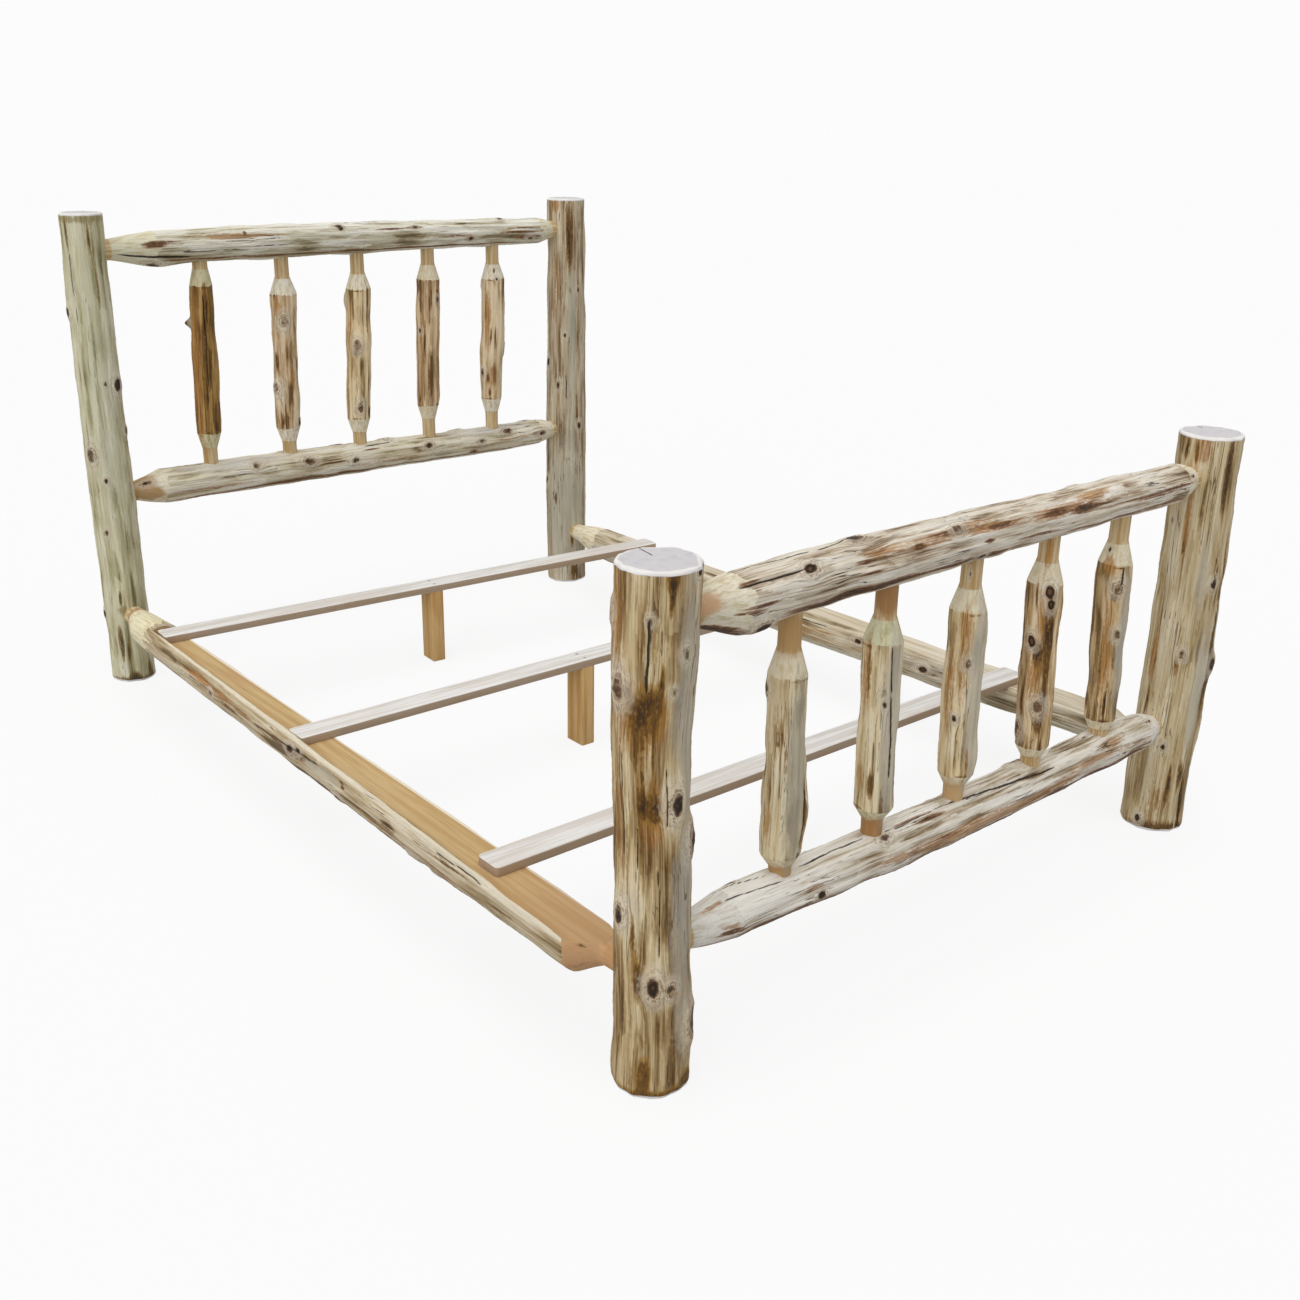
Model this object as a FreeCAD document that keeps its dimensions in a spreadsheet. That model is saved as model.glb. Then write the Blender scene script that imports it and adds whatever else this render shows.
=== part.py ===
# Rustic log bed of peeled logs with round tenons. The headboard and the footboard are glued frames.
# Two side rails, sawn to a ledge with a low lip, are drawn into the posts by lag bolts. Three loose
# slats lie on the ledges, each with a centre leg screwed under its middle.
# +X runs across the bed, +Y towards the headboard and +Z up. The origin is on the floor, under the
# middle of the bed.
import FreeCAD, Part
import os
import Sketcher

doc = FreeCAD.newDocument("LogBed")

# Driving dimensions, in millimetres, and one angle in degrees.
sizes = {
    # posts, measured between the centres of their feet
    "postSpanWide": 1475,
    "postSpanLong": 2213,
    "headPostHeight": 1218,
    "footPostHeight": 884,
    "headLeftPostDiameter": 106,
    "headRightPostDiameter": 122,
    "footLeftPostDiameter": 124,
    "footRightPostDiameter": 130,
    "postEndBevel": 4,
    # rails of the headboard and the footboard, by how far their axes lie under the posts' tops or
    # above the floor
    "headTopRailDrop": 91,
    "headLowerRailHeight": 510,
    "footTopRailDrop": 89,
    "footLowerRailHeight": 246,
    "headTopRailDiameter": 85,
    "headLowerRailDiameter": 86,
    "footTopRailDiameter": 90,
    "footLowerRailDiameter": 88,
    "headTopRailLeftConeLength": 112,
    "headTopRailRightConeLength": 46,
    "headLowerRailLeftConeLength": 72,
    "headLowerRailRightConeLength": 56,
    "footTopRailLeftConeLength": 78,
    "footTopRailRightConeLength": 54,
    "footLowerRailLeftConeLength": 90,
    "footLowerRailRightConeLength": 50,
    # tenons and mortises
    "railTenonDiameter": 51,
    "railTenonDepth": 58,
    "railNeck": 5,
    "spindleTenonDiameter": 38,
    "tenonClearance": 0.2,
    "tenonEndClearance": 0.3,
    "cutOverrun": 20,
    # spindles
    "spindlePitch": 228.6,
    "spindleDiameter": 67,
    "spindleTopConeLength": 47,
    "headSpindleLowerConeLength": 44,
    "footSpindleLowerConeLength": 26,
    # side rails
    "sideRailDiameter": 101,
    "sideRailHeight": 187,
    "sideRailBow": 19.5,
    "sideRailSag": 28,
    "leftRailHeadDrop": 0,
    "rightRailHeadDrop": 17,
    "leftRailHeadConeLength": 195,
    "rightRailHeadConeLength": 120,
    "sideRailFootConeLength": 46,
    "sideRailHeadNeck": 20,
    "sideRailFootNeck": 38,
    "ledgeRise": 19.5,
    "lipWallHeadOffset": 42.5,
    "lipWallFootOffset": 66.5,
    "rabbetHeadSpare": 9,
    # slats and centre legs
    "slatEndSpare": 18,
    "slatWidth": 64,
    "slatThickness": 19,
    "slatCorner": 9,
    "headSlatShift": -14,
    "middleSlatShift": -27,
    "footSlatShift": -11,
    "headSlatSkewAngle": -3.6,
    "legThickness": 38,
    "legEasedEdge": 4,
    # screws through the slats
    "screwDiameter": 4.2,
    "screwHeadDiameter": 8.6,
    "screwHeadHeight": 3,
    "screwLength": 64,
    "screwTip": 6,
    "screwSpacing": 32,
    "screwClearance": 0.15,
    # lag bolts, washers and plugs at the side rails' ends
    "lagDiameter": 9.5,
    "lagLength": 127,
    "lagTip": 9,
    "lagHeadAcross": 14.3,
    "lagHeadHeight": 6.4,
    "lagClearance": 0.25,
    "washerDiameter": 25,
    "washerThickness": 2,
    "counterboreDiameter": 27,
    "counterboreDepth": 28,
    "plugThickness": 12,
    "plugClearance": 0.15,
}

# Where the slats lie, as shares of the distance between the posts' centres along the bed.
slatShares = {"head": 0.3285, "middle": 0.0077, "foot": -0.3127}

# Sizes that follow from others: the axes of the top rails, slats that fit between the lips, and the
# head end of the rabbets, just past the end of the skewed head slat.
formulas = {
    "headTopRailHeight": "=headPostHeight - headTopRailDrop",
    "footTopRailHeight": "=footPostHeight - footTopRailDrop",
    "slatLength": "=postSpanWide + 2 * (lipWallHeadOffset - slatEndSpare)",
    "rabbetHeadEnd": f"=postSpanLong * {slatShares['head']} + slatWidth / 2"
                     " - slatLength / 2 * sin(headSlatSkewAngle) + rabbetHeadSpare",
}

sheet = doc.addObject("Spreadsheet::Sheet", "Sizes")
for row, (alias, value) in enumerate((sizes | formulas).items(), start=1):
    sheet.set(f"A{row}", alias)
    sheet.set(f"B{row}", str(value))
    sheet.setAlias(f"B{row}", alias)
doc.recompute()

nodes = {}
facings = {
    "X": FreeCAD.Rotation(FreeCAD.Vector(0, 1, 0), 90),
    "Y": FreeCAD.Rotation(FreeCAD.Vector(1, 0, 0), -90),
    "Z": FreeCAD.Rotation(),
}


def node(item, name):
    # A sub-part that is written to its own file.
    item.Label = name
    nodes[name] = item
    return item


def place(item, x, y, z, facing="Z"):
    # Stands an item at a point given by three expressions, with its own Z along one of the bed's axes.
    item.Placement = FreeCAD.Placement(FreeCAD.Vector(), facings[facing])
    item.setExpression("Placement.Base.x", x)
    item.setExpression("Placement.Base.y", y)
    item.setExpression("Placement.Base.z", z)
    return item


def cylinder(label, radius, length, x, y, z, facing="Z"):
    item = doc.addObject("Part::Cylinder", label)
    item.setExpression("Radius", radius)
    item.setExpression("Height", length)
    return place(item, x, y, z, facing)


def cone(label, lowRadius, highRadius, length, x, y, z, facing="Z"):
    item = doc.addObject("Part::Cone", label)
    item.setExpression("Radius1", lowRadius)
    item.setExpression("Radius2", highRadius)
    item.setExpression("Height", length)
    return place(item, x, y, z, facing)


def fuse(label, pieces):
    item = doc.addObject("Part::MultiFuse", label)
    item.Shapes = pieces
    return item


def compound(label, pieces):
    item = doc.addObject("Part::Compound", label)
    item.Links = pieces
    return item


def cut(label, base, tools):
    item = doc.addObject("Part::Cut", label)
    item.Base = base
    item.Tool = compound(f"{label}_cuts", tools)
    return item


def log(label, facing, rings):
    # A peeled log: straight-sided lengths between round sections. Each ring is its place along the
    # log, its radius and the two places of its centre across the log.
    sections = []
    for number, (along, radius, first, second) in enumerate(rings, start=1):
        ring = doc.addObject("Part::Circle", f"{label}_ring_{number}")
        ring.setExpression("Radius", radius)
        centre = {"X": (along, first, second), "Y": (first, along, second), "Z": (first, second, along)}
        sections.append(place(ring, *centre[facing], facing))
    loft = doc.addObject("Part::Loft", f"{label}_log")
    loft.Sections = sections
    loft.Solid = True
    loft.Ruled = True
    return loft


# Corners of the bed: side across, side along, post diameter, post height, and the post's shape as
# shares (height, radius, lean across, lean along), the leans being shares of the diameter.
corners = {
    "head_post_left": (-1, 1, "headLeftPostDiameter", "headPostHeight", [
        (0, 1.03, 0, 0), (0.35, 1.04, -0.02, 0.01), (0.7, 0.99, -0.03, 0.01), (1, 0.94, 0, 0)]),
    "head_post_right": (1, 1, "headRightPostDiameter", "headPostHeight", [
        (0, 1.01, 0, 0), (0.18, 1.05, 0, 0.023), (0.45, 1.02, 0.01, 0.01), (0.75, 0.96, 0.02, 0),
        (1, 0.93, 0.01, 0)]),
    "foot_post_left": (-1, -1, "footLeftPostDiameter", "footPostHeight", [
        (0, 1.03, 0.02, 0), (0.12, 1.02, 0.03, -0.02), (0.28, 0.97, 0, 0), (0.5, 0.95, -0.01, 0.01),
        (0.7, 0.95, -0.05, 0.04), (0.8, 1.01, -0.02, 0.02), (1, 1.03, 0, 0)]),
    "foot_post_right": (1, -1, "footRightPostDiameter", "footPostHeight", [
        (0, 0.99, -0.01, 0), (0.2, 1, 0, 0), (0.42, 1.03, 0.046, 0), (0.62, 1.02, 0.03, 0),
        (0.82, 0.98, 0, 0), (1, 0.98, 0, 0)]),
}


def postCentre(side, span):
    return f"{side} * Sizes.{span} / 2"


def postFace(side, span, diameter, inward="0"):
    # A place measured inwards from the face that a post turns to the middle of the bed.
    return f"{side} * (Sizes.{span} / 2 - Sizes.{diameter} / 2 - ({inward}))"


def postLog(name):
    side, end, diameter, height, shares = corners[name]
    rings = []
    for heightShare, radiusShare, acrossShare, alongShare in shares:
        rings.append([
            f"Sizes.{height} * {heightShare}",
            f"Sizes.{diameter} / 2 * {radiusShare}",
            f"{postCentre(side, 'postSpanWide')} + Sizes.{diameter} * {acrossShare}",
            f"{postCentre(end, 'postSpanLong')} + Sizes.{diameter} * {alongShare}"])
    # the sawn top has its arris taken off
    top = list(rings[-1])
    rings[-1][0] += " - Sizes.postEndBevel"
    top[1] += " - Sizes.postEndBevel"
    return log(name, "Z", rings + [top])


def postMortise(label, side, span, diameter, other, height, facing):
    # A blind mortise, drilled from the post's inner face. Where it starts depends on the side.
    depth = "Sizes.railTenonDepth + Sizes.tenonEndClearance"
    start = postFace(side, span, diameter, "Sizes.cutOverrun" if side > 0 else f"-({depth})")
    radius = "Sizes.railTenonDiameter / 2 + Sizes.tenonClearance"
    at = (start, other) if facing == "X" else (other, start)
    return cylinder(label, radius, f"{depth} + Sizes.cutOverrun", *at, height, facing)


def sideTenonHeight(side, end):
    # The side rails' tenons all lie at one height, but for the drop of each rail at the head.
    if end < 0:
        return "Sizes.sideRailHeight"
    return "Sizes.sideRailHeight - Sizes." + ("leftRailHeadDrop" if side < 0 else "rightRailHeadDrop")


def boltHole(name):
    # The lag bolt's hole, from the counterbore's floor into the end of the side rail.
    side, end, diameter, height, shares = corners[name]
    floor = f"Sizes.postSpanLong / 2 + Sizes.{diameter} / 2 - Sizes.counterboreDepth"
    reach = "Sizes.lagLength + Sizes.tenonEndClearance"
    start = f"{floor} - ({reach})" if end > 0 else f"-({floor}) - Sizes.cutOverrun"
    return cylinder(f"{name}_bolt_hole", "Sizes.lagDiameter / 2 + Sizes.lagClearance",
                    f"{reach} + Sizes.cutOverrun",
                    postCentre(side, "postSpanWide"), start, sideTenonHeight(side, end), "Y")


def counterbore(name, label, radius, depth):
    # A round pocket or plug at the post's outer face, where the lag bolt goes in.
    side, end, diameter, height, shares = corners[name]
    inner = f"Sizes.postSpanLong / 2 + Sizes.{diameter} / 2 - {depth}"
    start = inner if end > 0 else f"-({inner}) - {depth} - Sizes.cutOverrun"
    return cylinder(label, radius, f"{depth} + Sizes.cutOverrun",
                    postCentre(side, "postSpanWide"), start, sideTenonHeight(side, end), "Y")


boltHoles = {}
plugs = []
for name, (side, end, diameter, height, shares) in corners.items():
    raw = postLog(name)
    railNames = ("headTopRail", "headLowerRail") if end > 0 else ("footTopRail", "footLowerRail")
    across = postCentre(side, "postSpanWide")
    along = postCentre(end, "postSpanLong")
    boltHoles[name] = boltHole(name)
    tools = [
        postMortise(f"{name}_side_mortise", end, "postSpanLong", diameter, across,
                    sideTenonHeight(side, end), "Y"),
        counterbore(name, f"{name}_counterbore", "Sizes.counterboreDiameter / 2", "Sizes.counterboreDepth"),
        boltHoles[name]]
    for rail in railNames:
        tools.append(postMortise(f"{name}_{rail}_mortise", side, "postSpanWide", diameter, along,
                                 f"Sizes.{rail}Height", "X"))
    node(cut(f"{name}_drilled", raw, tools), name)
    # the plug is pared flush with the post
    blank = counterbore(name, f"{name}_plug_blank", "Sizes.counterboreDiameter / 2 - Sizes.plugClearance",
                        "Sizes.plugThickness")
    plug = doc.addObject("Part::Common", f"{name}_plug")
    plug.Base = blank
    plug.Tool = raw
    plugs.append(plug)
node(compound("plug_group", plugs), "bolt_plugs")


# Rails of the headboard and the footboard: the end of the bed, the keys of their own sizes and of
# their posts' sizes, how full the cone at each end is (0.5 is straight), and the log's shape as
# shares (length between the cones, radius, lift), the lift being a share of the diameter.
railShapes = {
    "headboard_top_rail": (1, "headTopRail", "head", (0.55, 0.6), [
        (0, 0.96, 0), (0.25, 1.02, 0.02), (0.55, 0.97, 0.02), (0.8, 0.92, 0.01), (1, 0.88, -0.02)]),
    "headboard_lower_rail": (1, "headLowerRail", "head", (0.5, 0.6), [
        (0, 1.06, 0.04), (0.3, 1.04, 0.03), (0.6, 0.95, -0.01), (0.85, 0.92, -0.05), (1, 0.88, -0.02)]),
    "footboard_top_rail": (-1, "footTopRail", "foot", (0.5, 0.65), [
        (0, 1, -0.04), (0.18, 1.06, 0), (0.4, 1, 0.01), (0.7, 0.93, 0), (1, 0.88, 0)]),
    "footboard_lower_rail": (-1, "footLowerRail", "foot", (0.5, 0.65), [
        (0, 0.94, 0), (0.35, 1.04, -0.09), (0.6, 1, -0.06), (0.85, 0.95, 0.01), (1, 0.9, 0)]),
}


def turnedEnd(face, neck, coneLength, coneRadius, fullShare):
    # Rings of one end, from the tenon's tip to the middle of its cone: place and radius. The face
    # turns a length measured inwards from the post into a place.
    tenon = "Sizes.railTenonDiameter / 2"
    return [
        (face("-Sizes.railTenonDepth"), tenon),
        (face(neck), tenon),
        (face(f"{neck} + {coneLength} / 2"), f"{tenon} + ({coneRadius} - {tenon}) * {fullShare}")]


def railLog(name):
    end, key, postKey, fullShares, shares = railShapes[name]
    height = f"Sizes.{key}Height"
    along = postCentre(end, "postSpanLong")
    ends = []
    limits = []
    for side, hand, fullShare, share in ((-1, "Left", fullShares[0], shares[0][1]),
                                         (1, "Right", fullShares[1], shares[-1][1])):
        def face(inward, side=side, post=f"{postKey}{hand}PostDiameter"):
            return postFace(side, "postSpanWide", post, inward)
        coneLength = f"Sizes.{key}{hand}ConeLength"
        rings = turnedEnd(face, "Sizes.railNeck", coneLength, f"Sizes.{key}Diameter / 2 * {share}", fullShare)
        ends.append([(x, radius, along, height) for x, radius in rings])
        limits.append(face(f"Sizes.railNeck + {coneLength}"))
    left, right = limits
    body = []
    for alongShare, radiusShare, liftShare in shares:
        body.append((f"({left}) + (({right}) - ({left})) * {alongShare}",
                     f"Sizes.{key}Diameter / 2 * {radiusShare}",
                     along,
                     f"{height} + Sizes.{key}Diameter * {liftShare}"))
    return log(name, "X", ends[0] + body + ends[1][::-1])


# Spindles, left to right: where the lower and the upper tenon stand, as shares of the pitch, where
# the knotty pole starts and ends, as shares of the height between the rails' axes, and the pole's
# shape as shares (its height, radius, sway across, sway along).
headSpindleShares = [
    (-2.03, -1.95, 0.21, 0.838, [
        (0, 0.94, 0.03, 0), (0.3, 1, 0.02, 0), (0.65, 0.93, 0, 0.02), (1, 0.87, -0.03, 0)]),
    (-1.01, -0.95, 0.19, 0.779, [
        (0, 0.98, 0, 0), (0.35, 0.99, 0, 0.01), (0.7, 0.96, -0.02, 0), (1, 1.08, 0, 0)]),
    (-0.04, 0.05, 0.187, 0.779, [
        (0, 0.97, 0, 0), (0.3, 1.04, 0.01, 0), (0.7, 0.98, 0, -0.02), (1, 1.05, 0, 0)]),
    (0.98, 1.05, 0.207, 0.8, [
        (0, 0.93, 0, 0), (0.35, 0.98, 0, 0), (0.75, 1, 0.01, 0), (1, 1, -0.01, 0)]),
    (1.97, 2.03, 0.2, 0.785, [
        (0, 0.92, 0, 0), (0.25, 0.99, -0.03, 0), (0.6, 1.04, 0.04, 0), (1, 1.02, 0.02, 0)]),
]
footSpindleShares = [
    (-2, -2.03, 0.135, 0.725, [
        (0, 1, -0.05, 0), (0.33, 1.04, 0.03, 0), (0.65, 0.93, 0.02, 0), (1, 0.98, 0, 0)]),
    (-1, -1.04, 0.165, 0.735, [
        (0, 1.06, 0.01, 0), (0.35, 1.02, 0, 0), (0.7, 0.97, 0, 0), (1, 1.04, 0, 0)]),
    (-0.01, -0.06, 0.162, 0.753, [
        (0, 0.96, 0, 0), (0.35, 1.02, 0.01, 0), (0.75, 1, 0.01, 0), (1, 0.98, 0, 0)]),
    (1.03, 0.93, 0.145, 0.764, [
        (0, 0.96, -0.02, 0), (0.3, 0.99, 0, 0), (0.7, 0.96, 0, 0), (1, 1, 0, 0)]),
    (2.04, 1.94, 0.137, 0.756, [
        (0, 0.92, 0, 0), (0.35, 0.96, 0.01, 0), (0.7, 0.98, 0, 0), (1, 0.99, 0, 0)]),
]


def spindleMortises(name, spindles, upper):
    # Blind mortises as deep as the rail's axis, in the underside of a top rail or the top of a lower one.
    end, key = railShapes[name][:2]
    radius = "Sizes.spindleTenonDiameter / 2 + Sizes.tenonClearance"
    length = f"Sizes.{key}Diameter + Sizes.tenonEndClearance"
    start = f"Sizes.{key}Height - " + (f"Sizes.{key}Diameter" if upper else "Sizes.tenonEndClearance")
    return [cylinder(f"{name}_mortise_{number}", radius, length,
                     f"Sizes.spindlePitch * {spindle[1 if upper else 0]}",
                     postCentre(end, "postSpanLong"), start)
            for number, spindle in enumerate(spindles, start=1)]


for name in railShapes:
    spindles = headSpindleShares if "head" in name else footSpindleShares
    node(cut(f"{name}_drilled", railLog(name), spindleMortises(name, spindles, "top" in name)), name)


def spindle(name, end, lower, upper, lowerCone, shapeShares):
    footShare, headShare, lowShare, highShare, poleShares = shapeShares
    low = f"Sizes.{lower}Height"
    rise = f"(Sizes.{upper}Height - Sizes.{lower}Height)"
    foot = f"Sizes.spindlePitch * {footShare}"
    head = f"Sizes.spindlePitch * {headShare}"
    y = postCentre(end, "postSpanLong")
    tenon = "Sizes.spindleTenonDiameter / 2"
    rings = [(low, tenon, foot, y), (f"{low} + {rise} * {lowShare} - Sizes.{lowerCone}", tenon, foot, y)]
    for heightShare, radiusShare, acrossShare, alongShare in poleShares:
        rings.append((f"{low} + {rise} * ({lowShare} + ({highShare} - {lowShare}) * {heightShare})",
                      f"Sizes.spindleDiameter / 2 * {radiusShare}",
                      f"{foot} + ({head} - {foot}) * {heightShare} + Sizes.spindleDiameter * {acrossShare}",
                      f"{y} + Sizes.spindleDiameter * {alongShare}"))
    rings.append((f"{low} + {rise} * {highShare} + Sizes.spindleTopConeLength", tenon, head, y))
    rings.append((f"{low} + {rise}", tenon, head, y))
    return node(log(name, "Z", rings), name)


for number, shapeShares in enumerate(headSpindleShares, start=1):
    spindle(f"headboard_spindle_{number}", 1, "headLowerRail", "headTopRail", "headSpindleLowerConeLength",
            shapeShares)
for number, shapeShares in enumerate(footSpindleShares, start=1):
    spindle(f"footboard_spindle_{number}", -1, "footLowerRail", "footTopRail", "footSpindleLowerConeLength",
            shapeShares)


# Side rails: the side of the bed, the posts, the size key of the head end, how full the cones are at
# foot and head (0.5 is straight), the bow of the middle of each cone, and the log between its cones,
# foot end first, as shares (length, radius, bow outwards, sag).
sideRailShapes = {
    "side_rail_left": (-1, "foot_post_left", "head_post_left", "leftRail", (0.45, 0.8), (0.5, 0.75), [
        (0, 1.03, 1, 0), (0.25, 1.06, 1, 0), (0.55, 1, 1, 0), (0.8, 0.95, 0.85, 0),
        (1, 0.92, 0.75, 0)]),
    "side_rail_right": (1, "foot_post_right", "head_post_right", "rightRail", (0.45, 0.6), (0, 0), [
        (0, 0.99, 0, -0.1), (0.25, 0.99, -0.4, 0.45), (0.5, 1.03, -0.3, 0.94), (0.68, 1.03, -0.2, 1),
        (1, 0.93, 0, 0.83)]),
}


def sideRail(name):
    side, footName, headName, key, fullShares, coneBowShares, shares = sideRailShapes[name]
    across = postCentre(side, "postSpanWide")
    height = "Sizes.sideRailHeight"
    ends = []
    limits = []
    necks = ("Sizes.sideRailFootNeck", "Sizes.sideRailHeadNeck")
    coneLengths = ("Sizes.sideRailFootConeLength", f"Sizes.{key}HeadConeLength")
    for end, postName, neck, coneLength, fullShare, coneBowShare, share in zip(
            (-1, 1), (footName, headName), necks, coneLengths, fullShares, coneBowShares,
            (shares[0], shares[-1])):
        def face(inward, end=end, post=corners[postName][2]):
            return postFace(end, "postSpanLong", post, inward)
        tenonHeight = sideTenonHeight(side, end)
        rings = turnedEnd(face, neck, coneLength, f"Sizes.sideRailDiameter / 2 * {share[1]}", fullShare)
        coneHeight = f"(({tenonHeight}) + {height} - Sizes.sideRailSag * {share[3]}) / 2"
        coneAcross = f"{across} + {side} * Sizes.sideRailBow * {coneBowShare}"
        centres = ((across, tenonHeight), (across, tenonHeight), (coneAcross, coneHeight))
        ends.append([(*ring, *centre) for ring, centre in zip(rings, centres)])
        limits.append(face(f"{neck} + {coneLength}"))
    foot, head = limits
    body = []
    for alongShare, radiusShare, bowShare, sagShare in shares:
        body.append((f"({foot}) + (({head}) - ({foot})) * {alongShare}",
                     f"Sizes.sideRailDiameter / 2 * {radiusShare}",
                     f"{across} + {side} * Sizes.sideRailBow * {bowShare}",
                     f"{height} - Sizes.sideRailSag * {sagShare}"))
    raw = log(name, "Y", ends[0] + body + ends[1][::-1])
    return node(cut(f"{name}_sawn", raw, [rabbet(name), boltHoles[headName], boltHoles[footName]]), name)


def rabbet(name):
    # The rabbet is sawn along the inner upper side. Its wall, where the log is wide enough to leave a
    # lip, runs outwards from head to foot.
    side, footName = sideRailShapes[name][:2]
    across = postCentre(side, "postSpanWide")
    start = postFace(-1, "postSpanLong", corners[footName][2], "Sizes.sideRailFootNeck")
    length = f"(Sizes.rabbetHeadEnd - ({start}))"
    taper = f"atan((Sizes.lipWallFootOffset - Sizes.lipWallHeadOffset) / {length})"
    wall = f"{across} + {side} * Sizes.lipWallFootOffset"
    width = "Sizes.sideRailDiameter * 2"
    item = doc.addObject("Part::Box", f"{name}_rabbet")
    item.setExpression("Length", width)
    item.setExpression("Width", length)
    item.setExpression("Height", "Sizes.sideRailDiameter")
    place(item, wall if side < 0 else f"{wall} - {width} * cos({taper})",
          start if side < 0 else f"{start} - {width} * sin({taper})",
          "Sizes.sideRailHeight + Sizes.ledgeRise")
    item.setExpression("Placement.Rotation.Angle", f"{side} * {taper}")
    return item


for name in sideRailShapes:
    sideRail(name)


# Lag bolts and washers, one of each at every corner. Their own Z points into the side rail.
def lagBolt(name):
    head = doc.addObject("Part::Prism", f"{name}_lag_head")
    head.Polygon = 6
    head.setExpression("Circumradius", "Sizes.lagHeadAcross / 2 / cos(30)")
    head.setExpression("Height", "Sizes.lagHeadHeight")
    place(head, "0", "0", "-Sizes.lagHeadHeight - Sizes.washerThickness")
    shank = cylinder(f"{name}_lag_shank", "Sizes.lagDiameter / 2",
                     "Sizes.lagLength + Sizes.washerThickness - Sizes.lagTip",
                     "0", "0", "-Sizes.washerThickness")
    tip = cone(f"{name}_lag_tip", "Sizes.lagDiameter / 2", "0", "Sizes.lagTip",
               "0", "0", "Sizes.lagLength - Sizes.lagTip")
    return fuse(f"{name}_lag", [head, shank, tip])


def washer(name):
    disc = cylinder(f"{name}_washer_disc", "Sizes.washerDiameter / 2", "Sizes.washerThickness",
                    "0", "0", "-Sizes.washerThickness")
    hole = cylinder(f"{name}_washer_hole", "Sizes.lagDiameter / 2 + Sizes.lagClearance",
                    "Sizes.washerThickness + 2 * Sizes.cutOverrun",
                    "0", "0", "-Sizes.washerThickness - Sizes.cutOverrun")
    return cut(f"{name}_washer", disc, [hole])


lags = []
washers = []
for name, (side, end, diameter, height, shares) in corners.items():
    floor = f"{end} * (Sizes.postSpanLong / 2 + Sizes.{diameter} / 2 - Sizes.counterboreDepth)"
    turn = FreeCAD.Rotation(FreeCAD.Vector(1, 0, 0), 90 * end)
    for group, item in ((lags, lagBolt(name)), (washers, washer(name))):
        place(item, postCentre(side, "postSpanWide"), floor, sideTenonHeight(side, end))
        item.Placement.Rotation = turn
        group.append(item)
node(compound("lag_group", lags), "rail_lag_bolts")
node(compound("washer_group", washers), "lag_washers")


# Slats and centre legs: boards padded from sketches, in the slat's own frame, whose origin is under
# the middle of the slat.
def rectangle(body, length, width):
    # A sketched rectangle about the origin, with its two lengths bound to the sheet.
    sketch = body.newObject("Sketcher::SketchObject", f"{body.Name}_outline")
    plane = [item for item in body.Origin.OriginFeatures if item.Role == "XY_Plane"][0]
    sketch.AttachmentSupport = [(plane, "")]
    sketch.MapMode = "FlatFace"
    x = doc.Sizes.get(length) / 2
    y = doc.Sizes.get(width) / 2
    points = [FreeCAD.Vector(*at, 0) for at in ((-x, -y), (x, -y), (x, y), (-x, y))]
    for number in range(4):
        sketch.addGeometry(Part.LineSegment(points[number], points[(number + 1) % 4]), False)
    for number in range(4):
        sketch.addConstraint(Sketcher.Constraint("Coincident", number, 2, (number + 1) % 4, 1))
    for number, way in enumerate(("Horizontal", "Vertical", "Horizontal", "Vertical")):
        sketch.addConstraint(Sketcher.Constraint(way, number))
    sketch.addConstraint(Sketcher.Constraint("Symmetric", 0, 1, 2, 1, -1, 1))
    for line, size in ((0, length), (1, width)):
        index = sketch.addConstraint(Sketcher.Constraint("Distance", line, doc.Sizes.get(size)))
        sketch.setExpression(f"Constraints[{index}]", f"Sizes.{size}")
    return sketch


def board(label, length, width, thickness, radius):
    # A padded board with its four upright edges rounded.
    body = doc.addObject("PartDesign::Body", label)
    pad = body.newObject("PartDesign::Pad", f"{label}_pad")
    pad.Profile = rectangle(body, length, width)
    pad.setExpression("Length", thickness)
    doc.recompute()
    upright = []
    for number, edge in enumerate(pad.Shape.Edges, start=1):
        low, high = [vertex.Point for vertex in edge.Vertexes]
        if low.x == high.x and low.y == high.y:
            upright.append(f"Edge{number}")
    rounded = body.newObject("PartDesign::Fillet", f"{label}_rounding")
    rounded.Base = (pad, upright)
    rounded.setExpression("Radius", f"Sizes.{radius}")
    body.Tip = rounded
    return body


def screwHole(label, side):
    x = "0"
    y = f"{side} * Sizes.screwSpacing / 2"
    shank = cylinder(f"{label}_bore", "Sizes.screwDiameter / 2 + Sizes.screwClearance",
                     "Sizes.screwLength + Sizes.tenonEndClearance + Sizes.cutOverrun",
                     x, y, "Sizes.slatThickness - Sizes.screwLength - Sizes.tenonEndClearance")
    sink = cone(f"{label}_sink", "Sizes.screwDiameter / 2 + Sizes.screwClearance",
                "Sizes.screwHeadDiameter / 2 + Sizes.screwClearance",
                "Sizes.screwHeadHeight + Sizes.screwClearance",
                x, y, "Sizes.slatThickness - Sizes.screwHeadHeight - Sizes.screwClearance")
    return fuse(label, [shank, sink])


def screw(label, side):
    x = "0"
    y = f"{side} * Sizes.screwSpacing / 2"
    head = cone(f"{label}_head", "Sizes.screwDiameter / 2", "Sizes.screwHeadDiameter / 2",
                "Sizes.screwHeadHeight", x, y, "Sizes.slatThickness - Sizes.screwHeadHeight")
    shank = cylinder(f"{label}_shank", "Sizes.screwDiameter / 2",
                     "Sizes.screwLength - Sizes.screwHeadHeight - Sizes.screwTip",
                     x, y, "Sizes.slatThickness - Sizes.screwLength + Sizes.screwTip")
    tip = cone(f"{label}_tip", "0", "Sizes.screwDiameter / 2", "Sizes.screwTip",
               x, y, "Sizes.slatThickness - Sizes.screwLength")
    return fuse(label, [head, shank, tip])


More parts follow.
